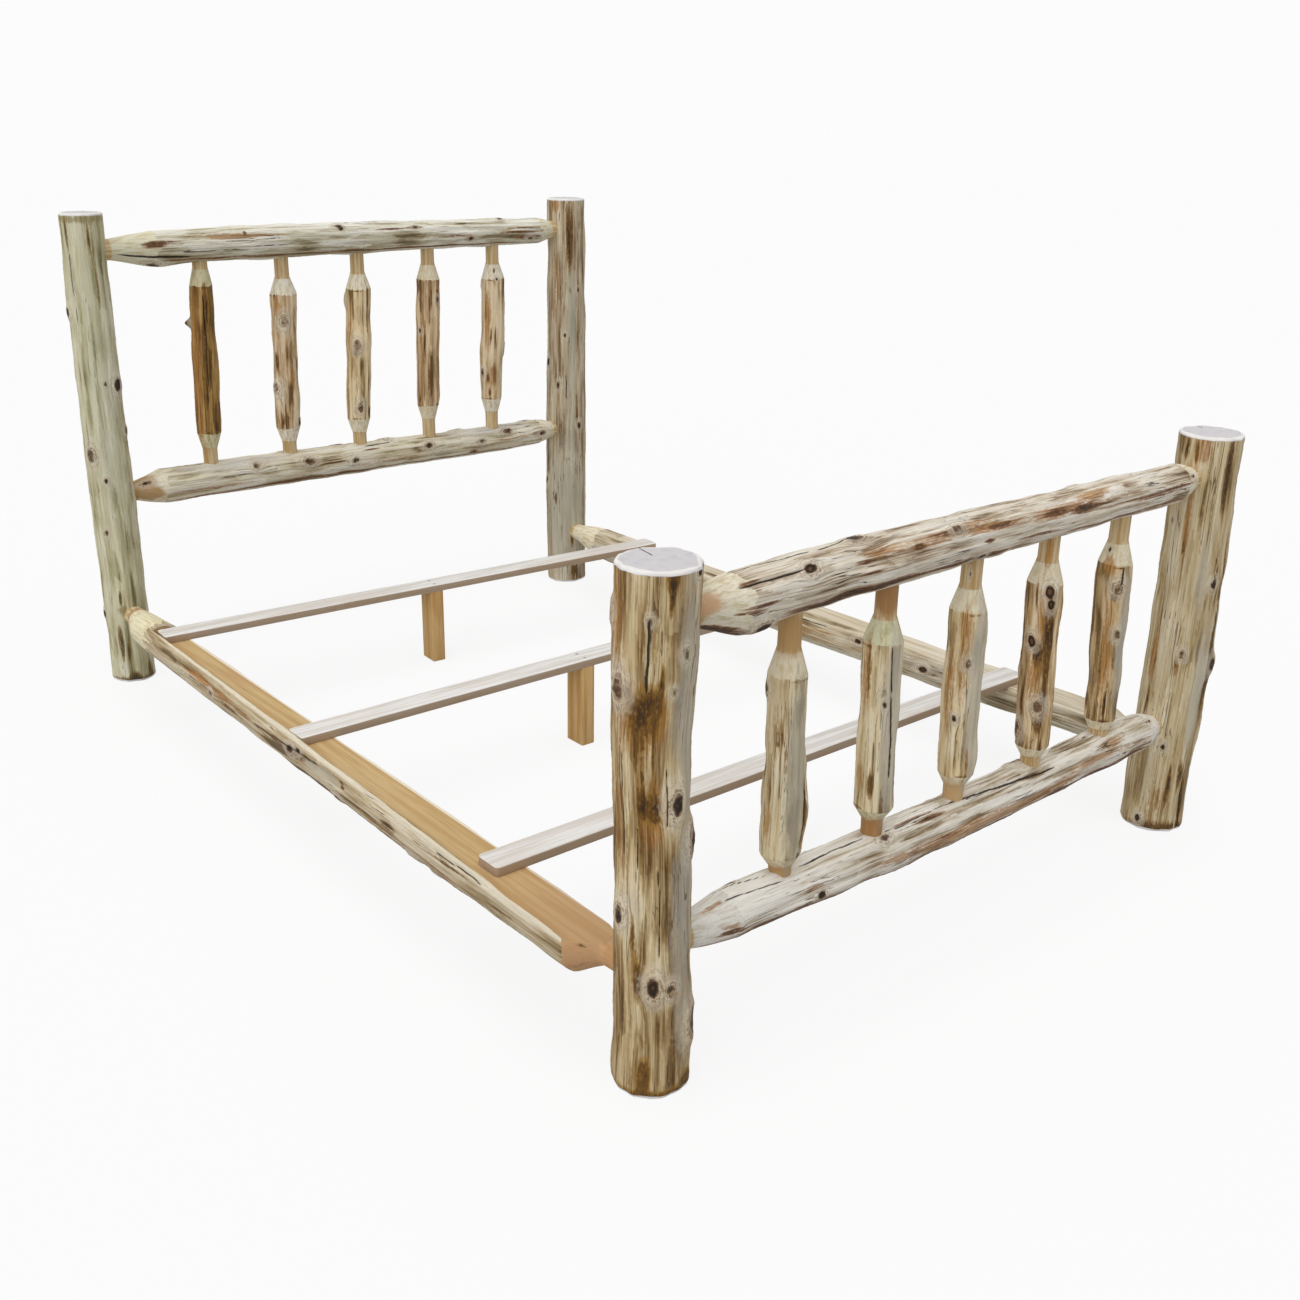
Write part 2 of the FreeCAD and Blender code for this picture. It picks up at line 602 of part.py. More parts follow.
def slatSet(number, key, skew):
    # A slat, its leg and its two screws, all moved to the slat's place along the bed.
    slat = board(f"slat_{number}_board", "slatLength", "slatWidth", "Sizes.slatThickness", "slatCorner")
    ledge = "Sizes.sideRailHeight + Sizes.ledgeRise"
    leg = board(f"leg_{number}_board", "legThickness", "slatWidth", ledge, "legEasedEdge")
    leg.setExpression("Placement.Base.z", f"-({ledge})")
    holes = [screwHole(f"slat_{number}_hole_{side + 2}", side) for side in (-1, 1)]
    screws = [screw(f"slat_{number}_screw_{side + 2}", side) for side in (-1, 1)]
    pieces = {
        f"slat_{number}": cut(f"slat_{number}_drilled", slat, holes),
        f"centre_leg_{number}": cut(f"leg_{number}_drilled", leg, holes),
        f"leg_screws_{number}": compound(f"leg_screws_{number}_pair", screws),
    }
    for name, item in pieces.items():
        place(item, f"Sizes.{key}SlatShift", f"Sizes.postSpanLong * {slatShares[key]}", ledge)
        if skew:
            item.setExpression("Placement.Rotation.Angle", f"Sizes.{skew}")
        node(item, name)


for number, key in enumerate(slatShares, start=1):
    slatSet(number, key, "headSlatSkewAngle" if key == "head" else None)

doc.recompute()

# Every object has to be sound before anything is written.
for item in doc.Objects:
    if "Invalid" in item.State or "Error" in item.State:
        raise RuntimeError(f"{item.Name} did not build: {item.State}")
for name, item in nodes.items():
    if item.Shape.isNull() or not item.Shape.isValid() or not item.Shape.Solids:
        raise RuntimeError(f"{name} has no sound shape")

os.makedirs("parts", exist_ok=True)
for name, item in nodes.items():
    item.Shape.exportStep(os.path.join("parts", f"{name}.step"))
    print(name, len(item.Shape.Solids), round(item.Shape.Volume))
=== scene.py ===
import math

import bmesh
import bpy
import numpy as np
from mathutils import Matrix, Vector


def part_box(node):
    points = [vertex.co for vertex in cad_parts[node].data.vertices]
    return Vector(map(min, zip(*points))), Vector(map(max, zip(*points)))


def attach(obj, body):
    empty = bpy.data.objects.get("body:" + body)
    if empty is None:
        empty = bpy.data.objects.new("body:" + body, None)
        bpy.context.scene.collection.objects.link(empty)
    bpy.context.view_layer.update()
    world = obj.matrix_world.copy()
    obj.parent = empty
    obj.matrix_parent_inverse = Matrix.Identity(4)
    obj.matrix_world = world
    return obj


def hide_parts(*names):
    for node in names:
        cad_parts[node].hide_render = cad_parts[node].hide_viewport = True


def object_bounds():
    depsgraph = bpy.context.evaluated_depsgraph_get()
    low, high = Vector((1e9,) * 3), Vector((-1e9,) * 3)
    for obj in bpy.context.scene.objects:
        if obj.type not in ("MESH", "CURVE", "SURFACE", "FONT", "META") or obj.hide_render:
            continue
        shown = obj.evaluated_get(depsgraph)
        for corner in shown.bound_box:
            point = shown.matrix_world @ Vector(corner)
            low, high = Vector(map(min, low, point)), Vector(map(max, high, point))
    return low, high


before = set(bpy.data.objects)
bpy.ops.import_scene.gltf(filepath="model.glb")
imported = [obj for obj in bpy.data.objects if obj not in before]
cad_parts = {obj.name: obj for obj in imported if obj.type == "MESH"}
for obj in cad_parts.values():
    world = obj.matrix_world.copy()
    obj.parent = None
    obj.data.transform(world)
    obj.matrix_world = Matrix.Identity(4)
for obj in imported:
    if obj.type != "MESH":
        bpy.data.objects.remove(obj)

# Rustic bed of peeled white cedar logs. Lengths in the settings are in millimetres and angles in
# degrees, and a place on a log is given along it and round it.
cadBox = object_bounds()
scene = bpy.context.scene
mm = 0.001


# ---- small tools ----
def hexColour(code):
    parts = [int(code[i:i + 2], 16) / 255 for i in (1, 3, 5)]
    return [p / 12.92 if p <= 0.04045 else ((p + 0.055) / 1.055) ** 2.4 for p in parts] + [1]


def setInputs(tree, node, inputs):
    # Links what is a socket and sets what is a number or a colour.
    for key, value in inputs.items():
        if isinstance(value, bpy.types.NodeSocket):
            tree.links.new(value, node.inputs[key])
        else:
            node.inputs[key].default_value = value


def addNode(tree, kind, inputs, output=0, **settings):
    node = tree.nodes.new("ShaderNode" + kind)
    for key, value in settings.items():
        setattr(node, key, value)
    setInputs(tree, node, inputs)
    return node.outputs[output]


def newMaterial(name):
    material = bpy.data.materials.new(name)
    material.use_nodes = True
    return material, material.node_tree, material.node_tree.nodes["Principled BSDF"]


def grainPatterns(tree, grain, patterns):
    # Noises drawn out along the log: their width in mm, how many times longer they are, and detail.
    noises = {}
    for key, (width, stretch, detail) in patterns.items():
        long = addNode(tree, "VectorMath", {0: grain, 1: (1, 1, 1 / stretch)}, operation="MULTIPLY")
        noises[key] = addNode(tree, "TexNoise", {
            "Vector": long, "Scale": 1 / (width * mm), "Detail": detail, "Roughness": 0.55,
            "Distortion": 0.2})
    return noises


def paintLayers(tree, colour, layers):
    # Each layer: what drives it, where it starts and is full, how strong it gets, and its colour.
    for source, start, full, most, shade in layers:
        share = addNode(tree, "MapRange", {0: source, 1: start, 2: full, 4: most},
                        interpolation_type="SMOOTHSTEP")
        if isinstance(shade, str):
            shade = hexColour(shade)
        colour = addNode(tree, "Mix", {0: share, 6: colour, 7: shade}, 2, data_type="RGBA")
    return colour


def meshOf(name, shape):
    # Turns a bmesh into a mesh.
    mesh = bpy.data.meshes.new(name)
    shape.to_mesh(mesh)
    shape.free()
    return mesh


def addObject(name, mesh, materials):
    # Puts a mesh with its materials into the scene.
    for material in materials:
        mesh.materials.append(material)
    piece = bpy.data.objects.new(name, mesh)
    scene.collection.objects.link(piece)
    return piece


def finishPiece(piece, node, body):
    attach(piece, body)
    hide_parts(node)


# ---- materials ----
def peeledCedar(name, look):
    # White cedar pole, peeled with a drawknife and left to weather: long pale and brown streaks, strips
    # of inner bark, dark knots with rings round them, drying checks. Dry and dull.
    material, tree, shader = newMaterial(name)
    grain = addNode(tree, "Attribute", {}, "Vector", attribute_name="grain")
    fields = []
    for title in ("marks", "cuts", "tones"):
        layer = addNode(tree, "Attribute", {}, "Vector", attribute_name=title)
        fields += addNode(tree, "SeparateXYZ", {0: layer}).node.outputs[:]
    knot, dark, orange, check, turned, tenon, pale, grey, heart = fields
    noise = grainPatterns(tree, grain, {
        "patch": (60, 4, 2), "broad": (13, 24, 2), "strip": (6, 26, 2), "fine": (2.7, 30, 2),
        "fibre": (1.3, 24, 1), "speck": (5, 2, 2), "lines": (8, 40, 1)})

    level = 0.5 - sum(look["streaks"].values()) / 2
    for key, weight in look["streaks"].items():
        level = addNode(tree, "Math", {0: noise[key], 1: weight, 2: level}, operation="MULTIPLY_ADD")
    level = addNode(tree, "Math", {0: pale, 1: 0.3, 2: level}, operation="MULTIPLY_ADD")
    colour = hexColour(look["colours"][0])
    colour = paintLayers(tree, colour, [(level, start - 0.02, start + look["soft"], 1, shade)
                                        for start, shade in zip(look["steps"], look["colours"][1:])])
    # turned cones and tenons are cleanly cut and creamy
    cone = paintLayers(tree, hexColour(look["coneDark"]), [
        (noise["strip"], 0.3, 0.6, 1, look["coneLight"]),
        (noise["fine"], 0.56, 0.72, 0.25, look["tenonDark"])])
    peg = paintLayers(tree, hexColour(look["tenonDark"]), [(noise["strip"], 0.4, 0.6, 1, look["tenonLight"])])
    colour = paintLayers(tree, colour, [(turned, 0.3, 0.6, 1, cone), (tenon, 0.3, 0.6, 1, peg)])
    # patches are torn along the grain, the more so the steeper they are, and have holes
    ragged = []
    kinds = ((dark, look["torn"], 0.9), (orange, 1.8, 1.5), (grey, 1, 0.6), (heart, 0.5, 0.6))
    for field, steep, holes in kinds:
        raised = 1 + steep + holes / 2
        for key, weight in (("strip", steep), ("fine", steep), ("speck", holes)):
            raised = addNode(tree, "Math", {0: noise[key], 1: -weight, 2: raised}, operation="MULTIPLY_ADD")
        ragged.append(addNode(tree, "Math", {0: field, 1: raised}, operation="MULTIPLY"))
    line = addNode(tree, "Math", {0: noise["lines"], 1: 0.5}, operation="SUBTRACT")
    line = addNode(tree, "Math", {0: line}, operation="ABSOLUTE")
    line = addNode(tree, "MapRange", {0: line, 1: 0.03, 2: 0.006}, interpolation_type="SMOOTHSTEP")
    broken = addNode(tree, "MapRange", {0: noise["patch"], 1: 0.4, 2: 0.62})
    line = addNode(tree, "Math", {0: line, 1: broken}, operation="MULTIPLY")
    peeled = addNode(tree, "MapRange", {0: turned, 1: 0.3, 2: 0.6, 3: 1, 4: 0.15})
    line = addNode(tree, "Math", {0: line, 1: peeled}, operation="MULTIPLY")
    orangeWood = paintLayers(tree, hexColour(look["orangeDark"]), [
        (noise["fine"], 0.35, 0.6, 1, look["orange"])])
    # the dark field is dark wood and bark, and also painted shade below the cones' rims and along the rails'
    # undersides, so these colours paint that shade too
    darkWoodAndShade = paintLayers(tree, hexColour(look["dark"]), [
        (noise["fine"], 0.45, 0.62, 0.8, "#3A2410"), (noise["speck"], 0.5, 0.64, 0.4, look["bark"])])
    colour = paintLayers(tree, colour, [
        (ragged[3], 0.2, 0.9, 0.85, look["heart"]),
        (ragged[2], 0.3, 0.8, 0.75, look["grey"]),
        (ragged[1], 0.25, 0.95, 0.75, orangeWood),
        (line, 0.2, 1, look["lines"], look["lineColour"]),
        (ragged[0], 0.3, 0.6, 0.75, look["bark"]),
        (ragged[0], 0.6, 0.95, 0.9, darkWoodAndShade), (ragged[0], 1.35, 1.9, 0.8, "#2A1A0C"),
        (noise["fibre"], 0.52, 0.72, 0.22, look["colours"][1])])

    # knots: a pale swirl, brown rings and a dark heart
    wobble = addNode(tree, "Math", {0: noise["speck"], 1: 0.4, 2: -0.2}, operation="MULTIPLY_ADD")
    eye = addNode(tree, "Math", {0: knot, 1: wobble}, operation="ADD")
    ring = addNode(tree, "Math", {0: eye, 1: 40}, operation="MULTIPLY")
    ring = addNode(tree, "Math", {0: ring}, operation="SINE")
    ring = addNode(tree, "MapRange", {0: ring, 1: -0.3, 2: 0.9})
    near = addNode(tree, "MapRange", {0: eye, 1: 0.22, 2: 0.5})
    ring = addNode(tree, "Math", {0: ring, 1: near}, operation="MULTIPLY")
    split = addNode(tree, "Math", {0: noise["speck"], 1: 0.3, 2: check}, operation="MULTIPLY_ADD")
    colour = paintLayers(tree, colour, [
        (eye, 0.12, 0.4, 0.5, look["swirl"]), (ring, 0, 1, 0.6, look["knotRing"]),
        (eye, 0.66, 0.76, 0.85, "#553618"), (eye, 0.78, 0.9, 0.95, "#1F140B"),
        (eye, 1.02, 1.2, 0.75, "#7C5230"), (split, 0.66, 0.85, 0.95, "#231609")])

    height = addNode(tree, "Math", {0: noise["fibre"], 1: 0.35, 2: level}, operation="MULTIPLY_ADD")
    height = addNode(tree, "Math", {0: line, 1: -0.35, 2: height}, operation="MULTIPLY_ADD")
    smoother = addNode(tree, "MapRange", {0: turned, 1: 0.2, 2: 0.7, 3: 1, 4: 0.3})
    height = addNode(tree, "Math", {0: height, 1: smoother}, operation="MULTIPLY")
    height = addNode(tree, "Math", {0: check, 1: -1.5, 2: height}, operation="MULTIPLY_ADD")
    bump = addNode(tree, "Bump", {"Height": height, "Strength": 0.7, "Distance": 0.0018})
    rough = addNode(tree, "MapRange", {0: noise["strip"], 1: 0.3, 2: 0.7, 3: 0.6, 4: 0.82})
    setInputs(tree, shader, {"Base Color": colour, "Roughness": rough, "Normal": bump,
                             "Specular IOR Level": 0.25})
    return material


def endGrain(name, look):
    # Sawn end of a pole: growth rings about 3 mm apart, radial drying checks, whitened by the weather.
    material, tree, shader = newMaterial(name)
    grain = addNode(tree, "Attribute", {}, "Vector", attribute_name="grain")
    rim = addNode(tree, "SeparateXYZ", {0: addNode(tree, "Attribute", {}, "Vector", attribute_name="tones")})
    flat = addNode(tree, "VectorMath", {0: grain, 1: (1, 1, 0)}, operation="MULTIPLY")
    wobble = addNode(tree, "TexNoise", {"Vector": flat, "Scale": 26, "Detail": 1})
    blot = addNode(tree, "TexNoise", {"Vector": flat, "Scale": 60, "Detail": 3})
    radius = addNode(tree, "VectorMath", {0: flat}, "Value", operation="LENGTH")
    radius = addNode(tree, "Math", {0: wobble, 1: 0.014, 2: radius}, operation="MULTIPLY_ADD")
    turns = addNode(tree, "Math", {0: radius, 1: 2 * math.pi / (3.4 * mm)}, operation="MULTIPLY")
    ring = addNode(tree, "Math", {0: turns}, operation="SINE")
    split = 0.0
    for angle, start in look["endChecks"]:
        turned = addNode(tree, "VectorRotate", {"Vector": flat, "Angle": -math.radians(angle)},
                         rotation_type="Z_AXIS")
        out, aside, _ = addNode(tree, "SeparateXYZ", {0: turned}).node.outputs
        aside = addNode(tree, "Math", {0: wobble, 1: 0.008, 2: aside}, operation="MULTIPLY_ADD")
        aside = addNode(tree, "Math", {0: aside, 1: 0.004}, operation="SUBTRACT")
        aside = addNode(tree, "Math", {0: aside}, operation="ABSOLUTE")
        thin = addNode(tree, "MapRange", {0: aside, 1: 2.2 * mm, 2: 0.9 * mm})
        far = addNode(tree, "MapRange", {0: out, 1: start * mm, 2: (start + 6) * mm})
        both = addNode(tree, "Math", {0: thin, 1: far}, operation="MULTIPLY")
        split = addNode(tree, "Math", {0: both, 1: split}, operation="MAXIMUM")
    # the near-white on the bevelled rim is a painted highlight
    colour = paintLayers(tree, hexColour(look["endLight"]), [
        (ring, -0.4, 1, 0.6, look["endDark"]), (blot, 0.45, 0.72, 0.6, look["endGrey"]),
        (rim, 0.5, 1.2, 0.85, "#F0EDE8"), (split, 0.3, 0.9, 0.9, "#5A5048")])
    height = addNode(tree, "Math", {0: ring, 1: 0.25}, operation="MULTIPLY")
    height = addNode(tree, "Math", {0: split, 1: -1.5, 2: height}, operation="MULTIPLY_ADD")
    bump = addNode(tree, "Bump", {"Height": height, "Strength": 0.45, "Distance": 0.0012})
    setInputs(tree, shader, {"Base Color": colour, "Roughness": 0.8, "Normal": bump,
                             "Specular IOR Level": 0.2})
    return material


def sawnCedar(name, look, axis):
    # Sawn and planed cedar: straight grain along the board, a few pin knots, edges tanner than the faces.
    material, tree, shader = newMaterial(name)
    place = addNode(tree, "TexCoord", {}, "Object")
    turn = {"x": (0, -math.pi / 2, 0), "y": (math.pi / 2, 0, 0), "z": (0, 0, 0)}[axis]
    grain = addNode(tree, "Mapping", {"Vector": place, "Rotation": turn})
    noise = grainPatterns(tree, grain, {
        "patch": (70, 5, 2), "board": (17, 24, 2), "lines": (3.2, 50, 3), "fibre": (1.2, 30, 2)})
    colour = paintLayers(tree, hexColour(look["light"]), [
        (noise["board"], 0.42, 0.62, 0.9, look["dark"]),
        (noise["lines"], 0.5, 0.66, look["lines"], look["line"]),
        (noise["patch"], 0.5, 0.68, look["patches"], look["patch"]),
        (noise["fibre"], 0.5, 0.75, 0.3, look["line"])])
    squashed = addNode(tree, "VectorMath", {0: grain, 1: (1, 1, 0.55)}, operation="MULTIPLY")
    pins = addNode(tree, "TexVoronoi", {"Vector": squashed, "Scale": 1 / (look["knotSpacing"] * mm)},
                   "Distance")
    size = look["knotSize"] / look["knotSpacing"]
    colour = paintLayers(tree, colour, [
        (pins, 2.2 * size, size, 0.55, look["knotRing"]), (pins, 0.9 * size, 0.5 * size, 0.85, "#5A3A20")])
    if "edge" in look:
        # narrow edges, whose normals lie level, are painted tanner than the wide faces
        up = addNode(tree, "SeparateXYZ", {0: addNode(tree, "NewGeometry", {}, "Normal")}).node.outputs[2]
        colour = paintLayers(tree, colour, [
            (addNode(tree, "Math", {0: up}, operation="ABSOLUTE"), 0.75, 0.4, 0.8, look["edge"])])
    if "sapwood" in look:
        # pale sapwood within some mm of the log's outer side, tapering with the log
        x, z, foot, head = look["sapwood"]
        y = addNode(tree, "SeparateXYZ", {0: place}).node.outputs[1]
        edge = addNode(tree, "MapRange", {0: y, 1: -1, 2: 0.85, 3: foot * mm, 4: head * mm})
        away = addNode(tree, "VectorMath", {0: place, 1: (1, 0, 1), 2: (-x * mm, 0, -z * mm)},
                       operation="MULTIPLY_ADD")
        away = addNode(tree, "VectorMath", {0: away}, "Value", operation="LENGTH")
        inside = addNode(tree, "Math", {0: away, 1: edge}, operation="SUBTRACT")
        colour = paintLayers(tree, colour, [
            (inside, -1 * mm, 1 * mm, 0.55, look["line"]), (inside, 0, 2.5 * mm, 0.9, look["sap"]),
            (y, -0.6, -0.95, 0.5, look["patch"])])
    height = addNode(tree, "Math", {0: noise["fibre"], 1: 0.5, 2: noise["lines"]}, operation="MULTIPLY_ADD")
    bump = addNode(tree, "Bump", {"Height": height, "Strength": 0.35, "Distance": 0.0006})
    setInputs(tree, shader, {"Base Color": colour, "Roughness": 0.72, "Normal": bump,
                             "Specular IOR Level": 0.25})
    return material


# ---- carving of peeled logs ----
# What makes a log uneven: how many waves are summed, how many times they go round it, and how long they
# are. The wear of a sawn rim stays the same along the log, so its waves are as good as endless.
unevenness = {
    "lumps": (14, (0, 3), (90, 460)), "flutes": (30, (5, 16), (350, 1700)),
    "ripple": (26, (9, 36), (12, 80)), "wear": (8, (2, 9), (5e5, 1e6))}


def waves(seed, count, turns, lengths, along, angle, size):
    # A sum of waves that close round the log: whole turns across it, and wavelengths in mm along it.
    random = np.random.default_rng(seed)
    total = np.zeros((len(along), angle.shape[1]))
    for _ in range(count):
        around = random.integers(turns[0], turns[1] + 1)
        length = math.exp(random.uniform(math.log(lengths[0]), math.log(lengths[1])))
        way = random.choice((-1, 1))
        total += np.cos(around * angle + way * 2 * math.pi * along / length + random.uniform(0, 2 * math.pi))
    return total * size * math.sqrt(2 / count)


def knifeStrokes(seed, along, angle, radius, length, width):
    # Shallow facets left by a drawknife: how far the middle of the nearest stroke is, and its tone.
    random = np.random.default_rng(seed)
    low, high = along.min(), along.max()
    girth = 2 * math.pi * radius
    count = int((high - low) * girth / (length * width)) + 1
    seedsAlong = random.uniform(low, high, count)
    seedsAround = random.uniform(-girth / 2, girth / 2, count)
    nearest = np.full((len(along), angle.shape[1]), 1e9)
    tone = np.zeros_like(nearest)
    for u, v, shade in zip(seedsAlong, seedsAround, random.uniform(-1, 1, count)):
        across = np.abs(angle * radius - v)
        across = np.minimum(across, girth - across)
        away = ((along - u) / length) ** 2 + (across / width) ** 2
        tone = np.where(away < nearest, shade, tone)
        nearest = np.minimum(nearest, away)
    return np.minimum(nearest, 1) - 0.4, tone


def smoothLine(at, places, values, blur):
    # Values between the places, rounded off at the places over about the blur, in mm.
    fine = np.arange(places[0] - 3 * blur, places[-1] + 3 * blur, blur / 6)
    window = np.hanning(15)[1:-1]
    line = np.pad(np.interp(fine, places, values), len(window) // 2, mode="edge")
    line = np.convolve(line, window / window.sum(), "valid")
    return np.interp(at, fine, line)


def stationsOf(log):
    # Places of the log's cross sections, with how far each is drawn in: by an inset at the bevels and
    # by a share over the flat ends.
    rings = log["rings"]
    low, high = log["turned"]
    hiddenStep = 24   # tenons are inside the mortises
    places = []
    for j in range(len(rings) - 1):
        start, stop = rings[j][0], rings[j + 1][0]
        hidden = (low and j == 0) or (high and j == len(rings) - 2)
        count = max(1, round((stop - start) / (hiddenStep if hidden else log["step"])))
        places += list(np.linspace(start, stop, count, endpoint=False))
    places.append(rings[-1][0])
    bevelHeight, bevelWidth = log["bevel"]
    body = [p for p in places if places[0] + bevelHeight < p < places[-1] - bevelHeight]
    turn = np.radians([0, 22, 45, 68, 90])
    corner = [(bevelHeight * (1 - math.sin(t)), bevelWidth * (1 - math.cos(t)), 1) for t in turn]
    flats = [(0, bevelWidth, share) for share in log["flats"]]
    end = corner + flats
    rows = [(rings[0][0] + drop, inset, share) for drop, inset, share in reversed(end)]
    rows += [(p, 0, 1) for p in body]
    rows += [(rings[-1][0] - drop, inset, share) for drop, inset, share in end]
    return np.array(rows), len(end)


# A knot's form in sizes of its dark heart: its bump and collar, the pit in it, and how far its rings
# and the grain that parts round it reach. A knot that rises by the height of a stub has no pit.
knotForm = {"bump": 1.5, "collar": 0.16, "collarAt": 1.5, "collarWidth": 0.5, "pit": 0.3, "pitOfRise": 0.35,
            "pitWidth": 0.7, "stub": 10, "rings": 0.72, "ringReach": 3.9, "parting": 0.8, "partAlong": 3.2,
            "partAcross": 2.2}


def carveKnots(knots, random, usualDepth, farFrom, meanRadius):
    # What the knots do: their marks, how far they lift the surface, and how far they turn the grain.
    form = knotForm
    marks, lift, turnedBy = 0, 0, 0
    for place, turn, size, rise, *depth in knots:
        u, v = farFrom(place, turn)
        tilt, stretch = random.uniform(-0.3, 0.3), random.uniform(1.25, 1.7)
        aside = random.uniform(-0.3, 0.3, 2) * size
        away = np.hypot((u + tilt * v) / stretch, v - tilt * u / 3)
        heartAway = np.hypot((u + tilt * v - aside[0]) / (stretch + 0.2), v - aside[1])
        bump = rise * np.exp(-(away / (form["bump"] * size)) ** 2)
        collar = np.exp(-((away / size - form["collarAt"]) / form["collarWidth"]) ** 2)
        lift = lift + (bump + form["collar"] * size * collar)
        pit = max(form["pitOfRise"] * rise, form["pit"] * size)
        lift = lift - pit * np.exp(-(heartAway / (form["pitWidth"] * size)) ** 2) * (rise < form["stub"])
        marks = np.maximum(marks, form["rings"] * np.clip(1 - away / (form["ringReach"] * size), 0, 1))
        deep = depth[0] if depth else usualDepth
        heart = form["rings"] + (deep - form["rings"]) * (1 - heartAway / size)
        marks = np.maximum(marks, np.where(heartAway < size, heart, 0))
        parted = np.exp(-(u / (form["partAlong"] * size)) ** 2 - (v / (form["partAcross"] * size)) ** 2)
        turnedBy = turnedBy - form["parting"] * parted * v / meanRadius
    return marks, lift, turnedBy


def tubeMesh(name, around, rowCount):
    # A capped tube, with the row and the side of each vertex, and the row where each face's middle is.
    tube = bmesh.new()
    bmesh.ops.create_cone(tube, cap_ends=True, cap_tris=False, segments=around, radius1=1, radius2=1, depth=1)
    long = [e for e in tube.edges if abs(e.verts[0].co.z - e.verts[1].co.z) > 0.5]
    bmesh.ops.subdivide_edges(tube, edges=long, cuts=rowCount - 2, use_grid_fill=True)
    mesh = meshOf(name, tube)
    spots = np.empty(len(mesh.vertices) * 3, np.float32)
    mesh.vertices.foreach_get("co", spots)
    spots = spots.reshape(-1, 3)
    row = np.rint((spots[:, 2] + 0.5) * (rowCount - 1)).astype(int)
    side = np.rint(np.arctan2(spots[:, 1], spots[:, 0]) / (2 * math.pi / around)).astype(int) % around
    middles = np.empty(len(mesh.polygons) * 3, np.float32)
    mesh.polygons.foreach_get("center", middles)
    return mesh, row, side, (middles.reshape(-1, 3)[:, 2] + 0.5) * (rowCount - 1)


def storeFields(mesh, fields, domain, row, side):
    # What the materials read. A log that is sawn later keeps them on its corners, because a cut blurs
    # them on its points.
    for title, values in fields.items():
        values = values[row, side]
        if domain == "CORNER":
            corners = np.empty(len(mesh.loops), np.int32)
            mesh.loops.foreach_get("vertex_index", corners)
            values = values[corners]
        layer = mesh.attributes.new(title, "FLOAT_VECTOR", domain)
        layer.data.foreach_set("vector", values.astype(np.float32).ravel())


# Where a log meets its cones, in mm: how far the knife was held steady, how far the lathe's cone runs on
# outwards, how soft its edge is, and where the middle of a section has moved to that of the tenon. The
# cone follows a swell by a share of it.
coneForm = {"steadyReach": 22, "runsOn": 70, "edge": 0.5, "middleReach": 30, "followsSwell": 0.85}


